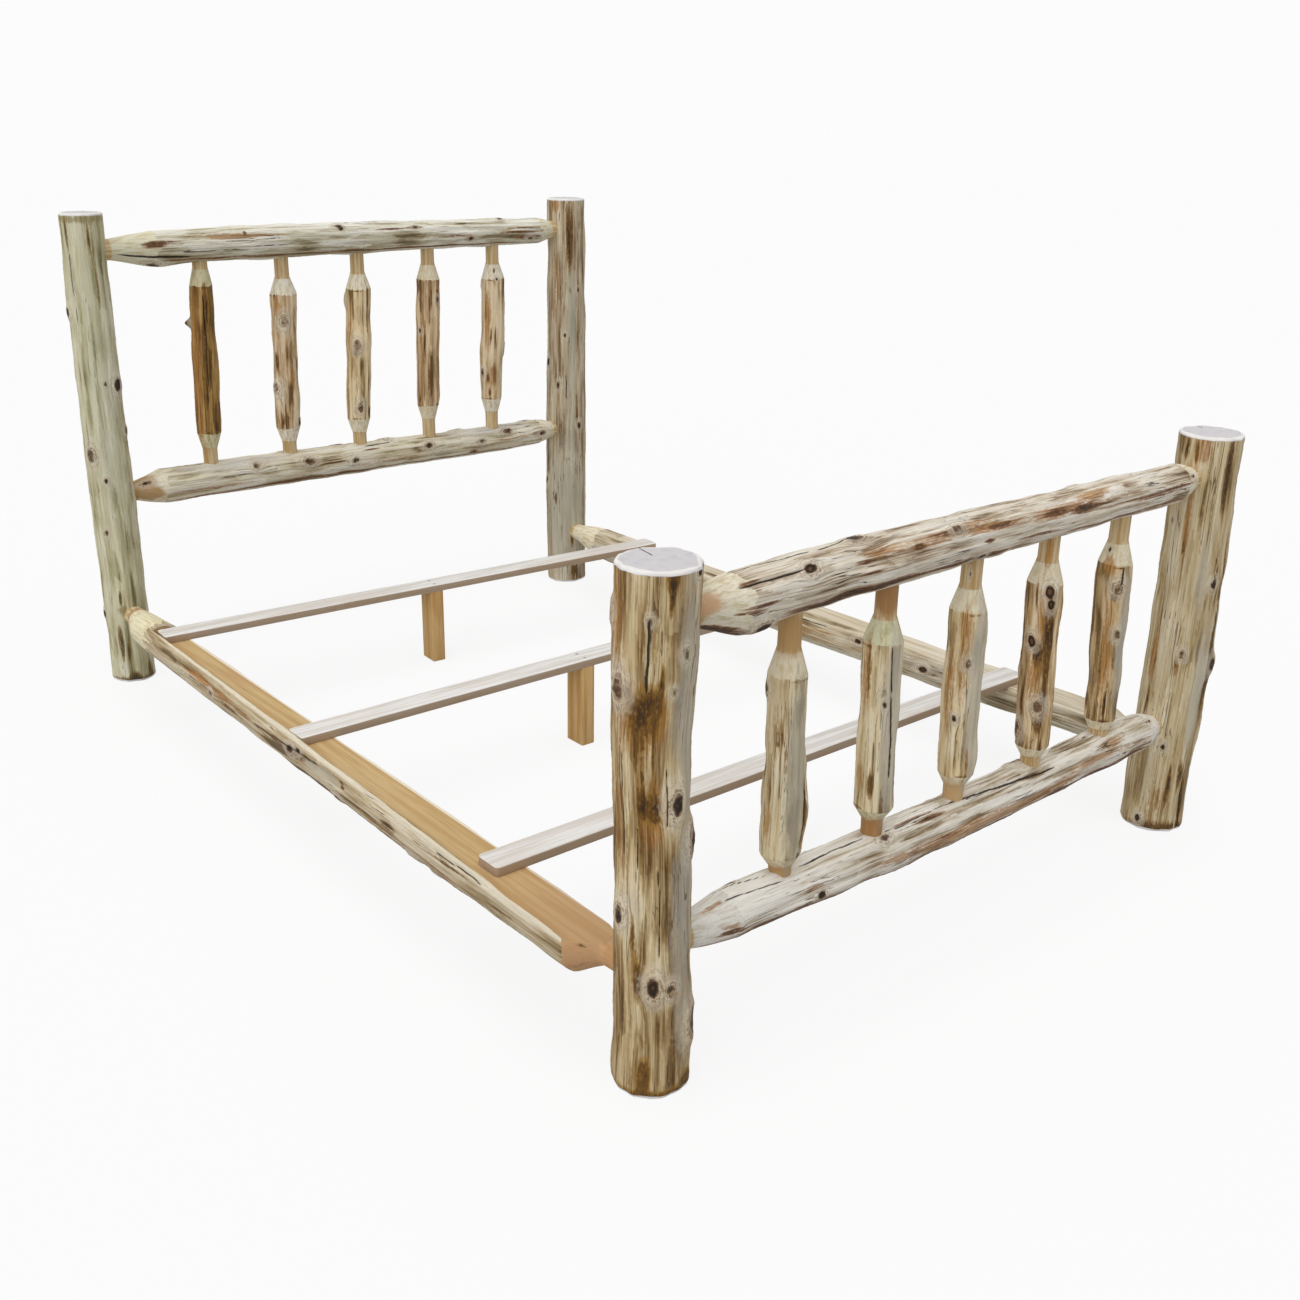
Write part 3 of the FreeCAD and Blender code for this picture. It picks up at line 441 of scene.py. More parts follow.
def carveLog(name, log, look, seed):
    rows, endCount = stationsOf(log)
    along, inset, share = rows[:, 0:1], rows[:, 1:2], rows[:, 2:3]
    rings = np.array(log["rings"], float)
    low, high = log["turned"]
    body = rings[low:len(rings) - high]
    around = log["around"]
    angle = (np.arange(around) * 2 * math.pi / around)[None, :]
    meanRadius = body[:, 1].mean()
    radius, firstCentre, secondCentre = [
        smoothLine(along, body[:, 0], body[:, k], log["blur"]) for k in (1, 2, 3)]

    # the worn rim, uneven growth with long flutes and a fine ripple, and the knife's strokes
    wear = 1 + log["wornRim"] * waves(seed + 5, *unevenness["wear"], along, angle, 1)
    inset = inset * np.clip(wear, 0.3, 2)
    lumps, flutes, ripple = [
        waves(seed + number, *unevenness[kind], along, angle, look[kind])
        for number, kind in enumerate(("lumps", "flutes", "ripple"))]
    relief = lumps + (flutes + ripple)
    facets, strokeTone = knifeStrokes(seed + 3, along, angle, meanRadius, *look["stroke"])
    relief += look["strokes"] * facets
    hollowShade = np.clip(-relief / 1.6, 0, 1)

    def farFrom(place, turn):
        across = (angle - np.radians(turn) + math.pi) % (2 * math.pi) - math.pi
        return along - place, across * meanRadius

    random = np.random.default_rng(seed + 4)
    knots = list(log["knots"])
    for _ in range(log["spareKnots"]):
        knots.append((random.uniform(body[0, 0], body[-1, 0]), random.uniform(*log["spareArc"]),
                      random.uniform(4, 7), random.uniform(0.5, 2.5)))
    knot, lift, turnedBy = carveKnots(knots, random, log["knotDepth"], farFrom, meanRadius)

    tones = {kind: np.zeros_like(relief) for kind in ("dark", "orange", "pale", "grey", "heart")}
    # the hollows of the relief are darkened with painted shade
    tones["pale"] += look["strokeTone"] * strokeTone - look["hollowShade"] * hollowShade
    for kind, tone in tones.items():
        for place, turn, length, width, strength, *slope in log.get(kind, []):
            u, v = farFrom(place, turn)
            if slope:
                v = v - np.radians(slope[0]) * u * meanRadius
            tone += strength * np.exp(-np.abs(u / length) ** 1.8 - np.abs(v / width) ** 2.4)
    swell = np.zeros_like(relief)
    for place, turn, length, width, rise in log.get("swells", []):
        u, v = farFrom(place, turn)
        swell += rise * np.exp(-(u / length) ** 2 - (v / width) ** 2)
    check = np.zeros_like(relief)
    for startAlong, startTurn, endAlong, endTurn, width in log.get("checks", []):
        # a crack wanders by about a degree and narrows towards its ends
        t = np.clip((along - startAlong) / (endAlong - startAlong), 0, 1)
        turn = startTurn + (endTurn - startTurn) * t + 0.7 * np.sin(along / 17) + 0.45 * np.sin(along / 7.3)
        first, last = sorted((startAlong, endAlong))
        past = np.maximum(0, np.maximum(first - along, along - last))
        fade = np.sqrt(np.clip(np.minimum(t, 1 - t) * 8, 0.05, 1))
        away = np.hypot(farFrom(0, turn)[1] / fade, past)
        deep = 1.1 * width
        check = np.maximum(check, np.clip(1 - away / (2 * deep), 0, 1))
        lift = lift - deep * np.exp(-(away / deep) ** 2)
    for place, turn, size in log.get("calm", []):   # flat and bare where a bolt's plug is
        still = np.exp(-(np.hypot(*farFrom(place, turn)) / size) ** 4)
        relief *= 1 - still
        lift *= 1 - still
    tones["pale"] += 2 * ((inset > 0) & (share == 1))   # painted highlight along the bevelled rim of a sawn end
    # near the line with a cone the knife was held steady, and the cone's rim stands a little proud with a
    # painted shadow below it
    for line, way, there in ((body[0, 0], 1, low), (body[-1, 0], -1, high)):
        if there:
            past = (along - line) * way
            relief *= 1 - log["steady"] * np.exp(-((along - line) / coneForm["steadyReach"]) ** 2)
            relief += log["rim"] * (past < 0)
            shadow = log["rimShadow"] * np.clip(np.sin(angle * 2 + seed) + 0.5 * np.sin(angle * 5), 0, 1)
            tones["dark"] += shadow * np.exp(-((past - 3) / 3.5) ** 2) * (past > 0)

    reach = radius + relief + lift + swell
    first = firstCentre + reach * np.cos(angle)
    second = secondCentre + reach * np.sin(angle)
    turned = np.zeros_like(relief)
    tenon = np.zeros_like(relief)
    for profile, way in ((rings[:low + 1], 1), (rings[::-1][:high + 1], -1)):
        if len(profile) < 2:
            continue
        # the lathe's cone runs on outwards past its line with the body, so bumps are cut further in
        slope = (profile[-1] - profile[-2]) / abs(profile[-1][0] - profile[-2][0])
        profile = np.vstack([profile, profile[-1] + slope * coneForm["runsOn"]])
        order = np.argsort(profile[:, 0])
        coneRadius, coneFirst, coneSecond = [
            smoothLine(along, profile[order, 0], profile[order, k], log["coneBlur"]) for k in (1, 2, 3)]
        coneRadius = coneRadius + coneForm["followsSwell"] * swell
        inCone = (along - profile[-1][0]) * way < 0
        distance = np.hypot(first - coneFirst, second - coneSecond)
        ratio = np.where(inCone & (distance > coneRadius), coneRadius / distance, 1)
        cut = np.clip((distance - coneRadius) / coneForm["edge"] + 0.5, 0, 1)
        turned = np.maximum(turned, np.where(inCone, cut, 0))
        first = coneFirst + (first - coneFirst) * ratio
        second = coneSecond + (second - coneSecond) * ratio
        neck = profile[1][0] + way * log["tenonShows"]
        tenon = np.maximum(tenon, np.clip((neck - along) * way / 4 + 0.5, 0, 1))
    tones["heart"] *= turned
    # ends: bevels are drawn in by some mm, flat ends by a share, towards the middle of the end
    centre = np.stack([np.broadcast_to(line, first.shape) for line in (firstCentre, secondCentre)])
    for ring, there, outwards in (
            (rings[0], low, body[0, 0] - along), (rings[-1], high, along - body[-1, 0])):
        if there:
            weight = np.clip(outwards / coneForm["middleReach"], 0, 1)
            centre = centre + weight * (ring[2:, None, None] - centre)
    reach = np.hypot(first - centre[0], second - centre[1])
    ratio = np.maximum(reach - inset, 0.5) / reach * share
    first = centre[0] + (first - centre[0]) * ratio
    second = centre[1] + (second - centre[1]) * ratio

    # a tube of the right number of sides and sections, moved ring by ring onto the carved form
    mesh, row, side, faceRow = tubeMesh(name, around, len(rows))
    if len(log["flats"]) > 1:   # ends that show are end grain
        onEnd = (faceRow < endCount - 1.2) | (faceRow > len(rows) - endCount + 0.2)
        mesh.polygons.foreach_set("material_index", onEnd.astype(np.int32))
    order = {"x": (2, 0, 1), "y": (0, 2, 1), "z": (0, 1, 2)}[log["axis"]]
    places = np.stack([first[row, side], second[row, side], along[row, 0]], 1)[:, order] * mm
    places = np.clip(places, np.array(cadBox[0]), np.array(cadBox[1]))
    mesh.vertices.foreach_set("co", places.astype(np.float32).ravel())
    if log["axis"] == "y":
        mesh.flip_normals()
    mesh.polygons.foreach_set("use_smooth", np.ones(len(mesh.polygons), bool))

    # the grain is laid out round the log's axis, and each log is cut from another place in the tree
    ringShare = np.hypot(first - centre[0], second - centre[1])
    turn = angle + turnedBy
    grain = np.stack([ringShare * np.cos(turn), ringShare * np.sin(turn),
                      along + 0 * turn + 4 * seed * np.ones_like(turn)], -1) * mm
    storeFields(mesh, {"grain": grain,
                       "marks": np.stack([knot, tones["dark"], tones["orange"]], -1),
                       "cuts": np.stack([check, turned, tenon], -1),
                       "tones": np.stack([tones["pale"], tones["grey"], tones["heart"]], -1)},
                log["domain"], row, side)
    mesh.update()
    return addObject(name, mesh, log["materials"])


def makeLogs(logs, shared, look, seed):
    # A carved log in place of each node, with its own woods.
    for number, (node, own) in enumerate(logs.items()):
        ownLook = {**look, **own.get("look", {})}
        woods = [peeledCedar(f"peeled_cedar_{node}", ownLook), endGrain(f"end_grain_{node}", ownLook)]
        log = {**shared, **own, "materials": woods}
        piece = carveLog(f"peeled_{node}", log, ownLook, seed + 10 * number)
        finishPiece(piece, node, "frame")


# ---- posts ----
# Rings are sections of a log: place along, radius, and the two other coordinates of the middle. Patches
# are dark, orange, pale, grey or heart: place, angle, half length, half width, strength, and the slope in
# degrees per mm if they wind round. Knots: place, angle, size, rise, depth. Checks: from, angle, to,
# angle, width. Swells: place, angle, half length, half width, rise. Calm: place, angle, radius. A look's
# colours go from dark to light with a step between each two, and its streaks weigh the grain's noises.
cedarLook = {
    "colours": ["#5E431F", "#8E7553", "#AE9A7B", "#CEBC9F", "#E4D6BC"], "steps": (0.19, 0.33, 0.47, 0.66),
    "streaks": {"patch": 0.5, "broad": 0.9, "strip": 0.7, "fine": 0.5}, "soft": 0.14, "grey": "#BDB7A8",
    "bark": "#8E6A38", "orange": "#B57E42", "orangeDark": "#7A4C20", "dark": "#64451A", "lines": 0.8,
    "lineColour": "#5A4226", "swirl": "#DDD3BE", "knotRing": "#6E4A28", "heart": "#B5854F",
    "coneLight": "#EFE6CE", "coneDark": "#D8C59C", "tenonLight": "#DAC297", "tenonDark": "#C0A26E",
    "endLight": "#DAD7D9", "endDark": "#B4AEAE", "endGrey": "#BDBBC4", "endChecks": [(60, 20)],
    "lumps": 0.8, "flutes": 0.8, "ripple": 0.16, "strokes": 0.8, "stroke": (130, 15), "strokeTone": 0.35,
    "hollowShade": 0.45, "torn": 2}
postShape = {
    "axis": "z", "around": 128, "step": 3.4, "turned": (0, 0), "blur": 60, "coneBlur": 6, "tenonShows": 0,
    "bevel": (6, 4.5), "flats": (0.93, 0.82, 0.68, 0.54, 0.4, 0.27, 0.15, 0.05), "spareKnots": 5,
    "spareArc": (0, 110), "steady": 0, "rim": 0, "rimShadow": 0, "knotDepth": 1.15, "wornRim": 0.35,
    "domain": "POINT"}
posts = {
    "head_post_left": {
        "rings": [
            (0, 54.6, -737.5, 1106.5), (426.3, 55.1, -739.6, 1107.6), (852.6, 52.5, -740.7, 1107.6),
            (1218, 49.8, -737.5, 1106.5)],
        "knots": [
            (798, -52, 12, 4), (806, -92, 4, 1.5, 0.8), (980, 178, 7, 6), (679, -38, 7, 4, 0.86),
            (625, -153, 10, 2, 0.84), (559, -121, 4.5, 1.5), (420, -136, 5, 1, 0.86), (190, 176, 7, 4),
            (1010, 40, 8, 3)],
        "orange": [
            (1205, -120, 10, 90, 1.3), (1150, -90, 60, 9, 1.1), (510, -52, 44, 10, 0.8),
            (205, -118, 16, 14, 1.2)],
        "dark": [
            (1160, -94, 40, 3, 1.2), (1045, -83, 60, 3, 1.2), (1170, -156, 40, 5, 1.2),
            (238, -122, 20, 4, 1.4), (112, -134, 46, 7, 1.5), (84, -116, 32, 4, 1.4),
            (12, -107, 18, 12, 1.5), (28, -58, 26, 9, 1.3), (2, -110, 12, 90, 1.1), (680, -30, 40, 5, 1.1)],
        "grey": [(700, -100, 600, 70, 0.5)],
        "pale": [(830, -70, 60, 16, 0.7)],
        "checks": [(1180, -154, 930, -149, 1.3)],
        "calm": [(187, 90, 24)],
        "look": {
            "colours": ["#6E6848", "#A39C76", "#C2BB98", "#D3CEB0", "#E2DEC6"], "grey": "#C4C7B4",
            "streaks": {"patch": 0.8, "broad": 0.7, "strip": 0.3, "fine": 0.3}, "orange": "#A0905C",
            "orangeDark": "#7C6C42", "steps": (0.15, 0.28, 0.42, 0.6), "lines": 0.5, "dark": "#5F5232"},
    },
    "head_post_right": {
        "rings": [
            (0, 61.6, 737.5, 1106.5), (219.2, 64, 737.5, 1109.3), (548.1, 62.2, 738.7, 1107.7),
            (913.5, 58.6, 739.9, 1106.5), (1218, 56.7, 738.7, 1106.5)],
        "knots": [
            (654, -150, 6, 1, 1), (948, -88, 5, 2), (721, 169, 7, 4), (525, -86, 7, 3), (337, 165, 7, 4),
            (810, -131, 4, 1)],
        "orange": [(1200, -160, 24, 14, 1.5), (950, -158, 130, 14, 0.9), (505, -176, 18, 14, 1.3)],
        "dark": [
            (1108, -116, 96, 12, 1.7), (958, -88, 24, 6, 1.5), (654, -150, 26, 4, 1.6),
            (545, -93, 42, 3.5, 1.5), (284, -158, 20, 4, 1.4), (155, -108, 34, 5, 1.4),
            (36, -100, 44, 13, 1.4)],
        "grey": [(850, -112, 300, 20, 0.9), (240, -125, 280, 80, 1)],
        "checks": [(690, -128, 610, -126, 2)],
        "calm": [(170, 90, 24)],
        "look": {"colours": ["#5E472C", "#967E60", "#B8A589", "#CDBFA2", "#E2D6BE"], "grey": "#B9B5A2"},
    },
    "foot_post_left": {
        "rings": [
            (0, 63.9, -735, -1106.5), (106.1, 63.2, -733.8, -1109), (247.5, 60.1, -737.5, -1106.5),
            (442, 58.9, -738.7, -1105.3), (618.8, 58.9, -743.7, -1101.5), (707.2, 62.6, -740, -1104),
            (884, 63.9, -737.5, -1106.5)],
        "knots": [
            (810, 141, 9, 6), (700, 175, 12, 4, 0.86), (520, -92, 11, 3), (702, -103, 4, 0.5, 0.8),
            (876, -69, 5, 1.5), (209, -126, 10, 3), (200, -100, 8, 1.5, 0.84), (327, 176, 9, 3, 0.95),
            (447, -52, 13, 10), (118, -55, 15, 8), (758, -86, 6, 1.5, 0.84), (812, -139, 4, 0.6, 0.8)],
        "dark": [
            (692, -134, 20, 14, 0.9), (662, -141, 42, 29, 1.25), (668, -150, 20, 12, 0.6),
            (603, -154, 30, 2.5, 1.3), (600, -127, 34, 2.5, 1.3), (570, -142, 60, 3.5, 1.2),
            (716, -120, 30, 3, 1.4), (873, -111, 18, 10, 1.6), (846, -112, 30, 4, 1.5),
            (700, -166, 14, 3, 1.5), (520, -142, 24, 9, 1.7), (516, -125, 30, 10, 1.8),
            (298, -160, 40, 5, 1.2), (217, -151, 34, 8, 1.6), (43, -141, 34, 11, 1.6),
            (4, -100, 12, 110, 1.3), (20, -66, 20, 20, 1), (500, -150, 200, 2.5, 0.9),
            (420, -170, 160, 2.5, 0.9)],
        "orange": [
            (660, -141, 52, 32, 1.8), (505, -130, 50, 18, 2), (447, -58, 50, 9, 1.4), (240, -156, 50, 8, 1),
            (110, -62, 60, 10, 1.3), (820, 160, 90, 20, 0.9), (700, -178, 60, 12, 0.7),
            (500, 175, 200, 14, 0.8)],
        "pale": [
            (330, -105, 250, 60, -0.6), (352, -166, 50, 30, 2.6), (250, -120, 60, 14, 1.6),
            (510, -92, 70, 18, 2.4), (700, 178, 50, 18, 1.4)],
        "grey": [(352, -166, 50, 30, 0.6), (500, -72, 480, 40, 1), (510, -90, 74, 24, -0.9)],
        "checks": [
            (817, -141, 700, -140, 2.6), (600, -174, 430, -178, 1.5), (480, -152, 380, -153, 1.5),
            (420, -120, 250, -117, 1.4), (600, -108, 480, -106, 1.1)],
        "calm": [(187, -90, 22)],
        "look": {
            "colours": ["#583D18", "#896C42", "#AB9268", "#CBB58B", "#E0CFAC"], "endChecks": [(80, 16)],
            "torn": 0.9, "dark": "#6A4716", "bark": "#96702E"},
    },
    "foot_post_right": {
        "rings": [
            (0, 64.3, 736.2, -1106.5), (176.8, 65, 737.5, -1106.5), (371.3, 67, 743.5, -1106.5),
            (548.1, 66.3, 741.4, -1106.5), (724.9, 63.7, 737.5, -1106.5), (884, 63.7, 737.5, -1106.5)],
        "knots": [
            (577, -106, 7, 4), (702, 159, 4, 0.5, 0.9), (419, -145, 6, 1.5, 0.84), (202, -150, 5, 1),
            (24, -175, 6, 1.5), (390, -72, 10, 6)],
        "orange": [
            (862, -161, 30, 16, 1.8), (700, -170, 110, 8, 1.1), (395, -152, 26, 5, 1.5),
            (400, 160, 60, 9, 1.1), (110, -150, 110, 40, 0.5)],
        "dark": [
            (855, 168, 26, 6, 1.5), (850, -172, 26, 4, 1.3), (830, -112, 60, 8, 1.8),
            (780, -108, 60, 6, 1.6), (650, -171, 20, 4, 1.1), (600, -104, 60, 5, 1.5),
            (480, -82, 180, 6, 1.6), (360, -76, 90, 8, 1.6), (401, -153, 14, 3, 1.4),
            (299, 163, 34, 4, 1.6), (138, -108, 30, 6, 1.6), (60, -92, 60, 6, 1.7),
            (60, -145, 110, 44, 0.5), (8, -120, 12, 90, 1.2), (120, -130, 40, 4, 1.3)],
        "pale": [(450, -172, 450, 40, 0.5)],
        "grey": [(330, -100, 160, 22, 1), (600, -130, 160, 22, 0.6)],
        "checks": [(150, -98, 0, -90, 2.4), (640, -105, 560, -106, 1.6)],
        "swells": [(390, -60, 40, 20, 5)],
        "calm": [(187, -90, 24)],
        "look": {
            "colours": ["#64502F", "#9E875E", "#BCA77F", "#CFBF9C", "#E0D3B8"], "endChecks": [(60, 34)],
            "streaks": {"patch": 0.5, "broad": 0.8, "strip": 0.55, "fine": 0.4}},
    },
}
makeLogs(posts, postShape, cedarLook, 100)
print("posts carved")


# ---- rails of the headboard and the footboard ----
railShape = {
    "axis": "x", "around": 96, "step": 4, "turned": (3, 3), "blur": 60, "coneBlur": 7, "tenonShows": 0,
    "bevel": (2, 2), "flats": (0.2,), "spareKnots": 5, "spareArc": (-30, 70), "steady": 0.3, "rim": 0.6,
    "rimShadow": 0, "knotDepth": 1.1, "wornRim": 0, "domain": "POINT"}
railLook = {
    "colours": ["#665338", "#9F8D70", "#C6B99F", "#E0D7C5", "#EDE8DC"], "grey": "#CBC7C0",
    "steps": (0.2, 0.31, 0.41, 0.57), "streaks": {"patch": 0.6, "broad": 0.55, "strip": 0.45, "fine": 0.45},
    "lines": 0.9, "lineColour": "#4A3A26", "orange": "#B98A50", "orangeDark": "#84542A", "dark": "#5E3C20",
    "bark": "#8F6440", "coneLight": "#E9E2CE", "coneDark": "#CDBD98", "lumps": 0.9}
boardRails = {
    "headboard_top_rail": {
        "rings": [
            (-742.5, 25.5, 1106.5, 1127), (-679.5, 25.5, 1106.5, 1127), (-623.5, 33.9, 1106.5, 1127),
            (-567.5, 40.8, 1106.5, 1127), (-269.2, 43.4, 1106.5, 1128.7), (88.7, 41.2, 1106.5, 1128.7),
            (386.9, 39.1, 1106.5, 1127.8), (625.5, 37.4, 1106.5, 1125.3), (648.5, 32.6, 1106.5, 1127),
            (671.5, 25.5, 1106.5, 1127), (734.5, 25.5, 1106.5, 1127)],
        "knots": [
            (-55, 128, 6, 2.5, 0.95), (-49, 139, 5, 1, 0.95), (184, 141, 5, 1.5, 0.9),
            (364, -164, 5.5, 1.5, 0.9), (482, 112, 6, 3), (580, -152, 6, 2.5, 0.9), (-578, -112, 10, 5, 0.9)
            ],
        "dark": [
            (-575, 165, 30, 9, 1.3), (-545, 158, 60, 3, 1.1), (-330, 140, 5, 6, 1.4),
            (-62, 125, 26, 3.5, 1.3), (102, 147, 50, 3, 1.2), (184, 143, 26, 4, 1.2),
            (318, -176, 60, 3, 1.4), (364, -162, 20, 6, 1.3), (530, 178, 80, 3.5, 1.4),
            (575, -158, 40, 7, 1.6), (560, 160, 60, 2.5, 1.2), (-578, -85, 70, 12, 1.5),
            # painted shade along the whole underside
            (0, -132, 640, 5, 1.1)],
        "orange": [(-377, 148, 60, 8, 1.6), (-290, 152, 70, 4, 1.4), (500, 160, 60, 4, 0.9)],
        "grey": [(0, 150, 640, 26, 0.4)],
        # a pale band along the whole top, partly weathering and partly painted light from above
        "pale": [(0, 100, 700, 22, 0.5)],
        "checks": [(-668, -156, -480, -142, 3.5)],
        "swells": [(-575, -100, 60, 24, 8)],
        "look": {
            "colours": ["#6A5C40", "#A89A7A", "#CAC4AC", "#E4E0D0", "#EFEDE4"], "coneLight": "#DFDDC4",
            "streaks": {"patch": 0.6, "broad": 0.45, "strip": 0.35, "fine": 0.4}},
    },
    "headboard_lower_rail": {
        "rings": [
            (-742.5, 25.5, 1106.5, 510), (-679.5, 25.5, 1106.5, 510), (-643.5, 35.5, 1106.5, 510),
            (-607.5, 45.6, 1106.5, 513.4), (-240.6, 44.7, 1106.5, 512.6), (126.3, 40.9, 1106.5, 509.1),
            (432, 39.6, 1106.5, 505.7), (615.5, 37.8, 1106.5, 508.3), (643.5, 32.9, 1106.5, 510),
            (671.5, 25.5, 1106.5, 510), (734.5, 25.5, 1106.5, 510)],
        "knots": [
            (-658, 140, 8, 0.5, 0.95), (-349, 142, 8, 2.5, 0.88), (-195, 154, 9, 3, 0.92),
            (-52, 178, 8, 3, 0.95), (-246, 84, 8, 3), (-81, 84, 9, 5, 0.95), (72, 88, 10, 4, 0.6),
            (200, 155, 9, 3, 0.95), (316, 84, 10, 7, 0.92), (387, 169, 7, 1, 0.8), (486, 139, 10, 4, 0.86),
            (572, 84, 8, 5, 0.9), (618, 178, 8, 3, 0.92)],
        "heart": [(-664, 150, 30, 60, 1.5), (-655, -165, 36, 14, 1.5)],
        "dark": [
            (-556, 82, 30, 4, 1.4), (-500, 95, 14, 3, 1.2), (-116, 172, 46, 3, 1.3), (11, 140, 30, 3, 1.4),
            # the last patch here is painted shade along the whole underside
            (387, 170, 26, 4, 1.3), (360, -146, 14, 6, 1.4), (607, 172, 26, 8, 1.5), (0, -132, 640, 6, 1.2)
            ],
        "orange": [(520, 176, 90, 6, 0.9), (100, -165, 200, 8, 0.8), (-500, -160, 160, 8, 0.8)],
        "grey": [(-420, 118, 220, 28, 0.8), (420, 112, 200, 28, 1)],
        "checks": [(-8, 124, 82, 119, 2)],
        "look": {
            "heart": "#AA8350", "colours": ["#665338", "#A08F70", "#C8BC9E", "#E0D8C2", "#EDE8DA"],
            "streaks": {"patch": 0.6, "broad": 0.5, "strip": 0.4, "fine": 0.4}},
    },
    "footboard_top_rail": {
        "rings": [
            (-733.5, 25.5, -1106.5, 795), (-670.5, 25.5, -1106.5, 795), (-631.5, 35.2, -1106.5, 795),
            (-592.5, 45, -1106.5, 791.4), (-375.4, 47.7, -1106.5, 795), (-110.1, 45, -1106.5, 795.9),
            (251.7, 41.9, -1106.5, 795), (613.5, 39.6, -1106.5, 795), (640.5, 34.7, -1106.5, 795),
            (667.5, 25.5, -1106.5, 795), (730.5, 25.5, -1106.5, 795)],
        "knots": [
            (-327, 90, 10, 3), (-459, 137, 8, 2, 1.3), (-558, -130, 10, 5), (-109, 136, 7, 1.5, 0.86),
            (-42, -142, 6, 2), (632, 150, 4, 0.5)],
        "heart": [(-668, 150, 26, 26, 1.6)],
        # the patches at about -140 degrees run on into painted shade along the underside
        "dark": [
            (-660, -115, 40, 16, 1.4), (-612, -115, 60, 12, 1.4), (-567, 179, 34, 3, 1.4),
            (-590, -170, 30, 3, 1.3), (-585, 131, 22, 4, 1.4), (-441, -138, 60, 9, 1.5),
            (-353, -143, 80, 8, 1.5), (-257, -144, 60, 8, 1.5), (-130, -140, 90, 6, 1.5),
            (-20, -142, 60, 7, 1.5), (-339, 152, 26, 3.5, 1.3), (-336, 176, 30, 2.5, 1.3),
            (-212, 150, 18, 6, 1.3), (-154, 138, 36, 4, 1.3), (-109, 138, 26, 8, 1.5), (5, 150, 40, 6, 1.6),
            (-31, 178, 16, 4, 1.4), (119, -163, 60, 3, 1.2), (165, 153, 36, 7, 1.5), (252, 158, 34, 9, 1.7),
            (300, 160, 60, 3, 1.2), (574, 168, 60, 3.5, 1.4), (622, 152, 14, 3.5, 1.6),
            (500, 180, 80, 2.5, 1.2), (420, 172, 160, 3, 0.9), (400, -140, 250, 7, 1.1)],
        "orange": [
            (-300, 140, 60, 12, 0.9), (-170, 143, 70, 9, 1.4), (-30, 146, 70, 9, 1.5),
            (-60, 128, 60, 4, 1.3), (180, 150, 90, 12, 1.5), (300, 128, 50, 9, 1.4)],
        "grey": [(0, 150, 660, 26, 0.3)],
        "checks": [
            (-602, 81, -423, 97, 2), (-423, 97, -335, 84, 2), (-614, 136, -470, 134, 2),
            (290, 68, 590, 70, 1.6)],
        "swells": [(-600, -98, 75, 26, 10), (-560, -128, 24, 12, 4)],
        "look": {
            "colours": ["#5A452B", "#9A866E", "#C8BAA4", "#E1D8C8", "#EFEAE0"], "strokes": 0.9,
            "heart": "#CDA27A", "streaks": {"patch": 0.6, "broad": 0.5, "strip": 0.35, "fine": 0.5}},
    },
    "footboard_lower_rail": {
        "rings": [
            (-733.5, 25.5, -1106.5, 246), (-670.5, 25.5, -1106.5, 246), (-625.5, 33.4, -1106.5, 246),
            (-580.5, 41.4, -1106.5, 246), (-161.2, 45.8, -1106.5, 238.1), (138.3, 44, -1106.5, 240.7),
            (437.8, 41.8, -1106.5, 246.9), (617.5, 39.6, -1106.5, 246), (642.5, 34.7, -1106.5, 246),
            (667.5, 25.5, -1106.5, 246), (730.5, 25.5, -1106.5, 246)],
        "knots": [(-396, -168, 7, 2), (-222, 125, 7, 2, 0.86), (626, 125, 4, 0.5), (216, 60, 10, 6, 0.8)],
        "orange": [
            (-622, 109, 24, 5, 1.5), (-600, 178, 26, 5, 1.2), (-419, 166, 40, 7, 1), (-198, 178, 60, 10, 1),
            (-28, -172, 130, 14, 1.4), (140, -170, 110, 12, 1.4), (469, 140, 44, 10, 1.5),
            (420, 165, 110, 6, 1.3), (560, 172, 60, 5, 1.3), (300, -172, 60, 10, 1.1)],
        # the long patches at about -130 to -150 degrees run on into painted shade along the underside
        "dark": [
            (-596, -165, 26, 6, 1.5), (-610, -122, 50, 9, 1.6), (-498, -140, 90, 9, 1.6),
            (-415, -158, 36, 6, 1.7), (-300, -135, 130, 7, 1.4), (-110, -130, 120, 7, 1.4),
            (80, -130, 120, 7, 1.3), (291, -142, 60, 11, 1.7), (420, -142, 90, 8, 1.6),
            (560, -150, 60, 5, 1.4), (-95, 122, 40, 4, 1.3), (-140, 108, 60, 3, 1.1),
            (-60, 180, 50, 3, 1.3), (620, 126, 8, 3, 1.4)],
        "pale": [(-560, 120, 160, 40, 1.5)],
        "checks": [
            (-604, 110, -467, 124, 1.8), (-600, 66, -480, 92, 1.5), (-425, 106, -261, 101, 1.8),
            (-209, 108, -95, 121, 1.5), (-70, 104, 293, 138, 2.2), (500, 62, 560, 56, 1.3)],
        "swells": [(-640, -115, 60, 30, 5)],
        "look": {
            "colours": ["#6A563C", "#A8967C", "#CFC5B2", "#E4DDD0", "#F0ECE2"], "coneLight": "#E9E7E0",
            "coneDark": "#D2CBBB"},
    },
}
makeLogs(boardRails, railShape, {**cedarLook, **railLook}, 200)
print("board rails carved")


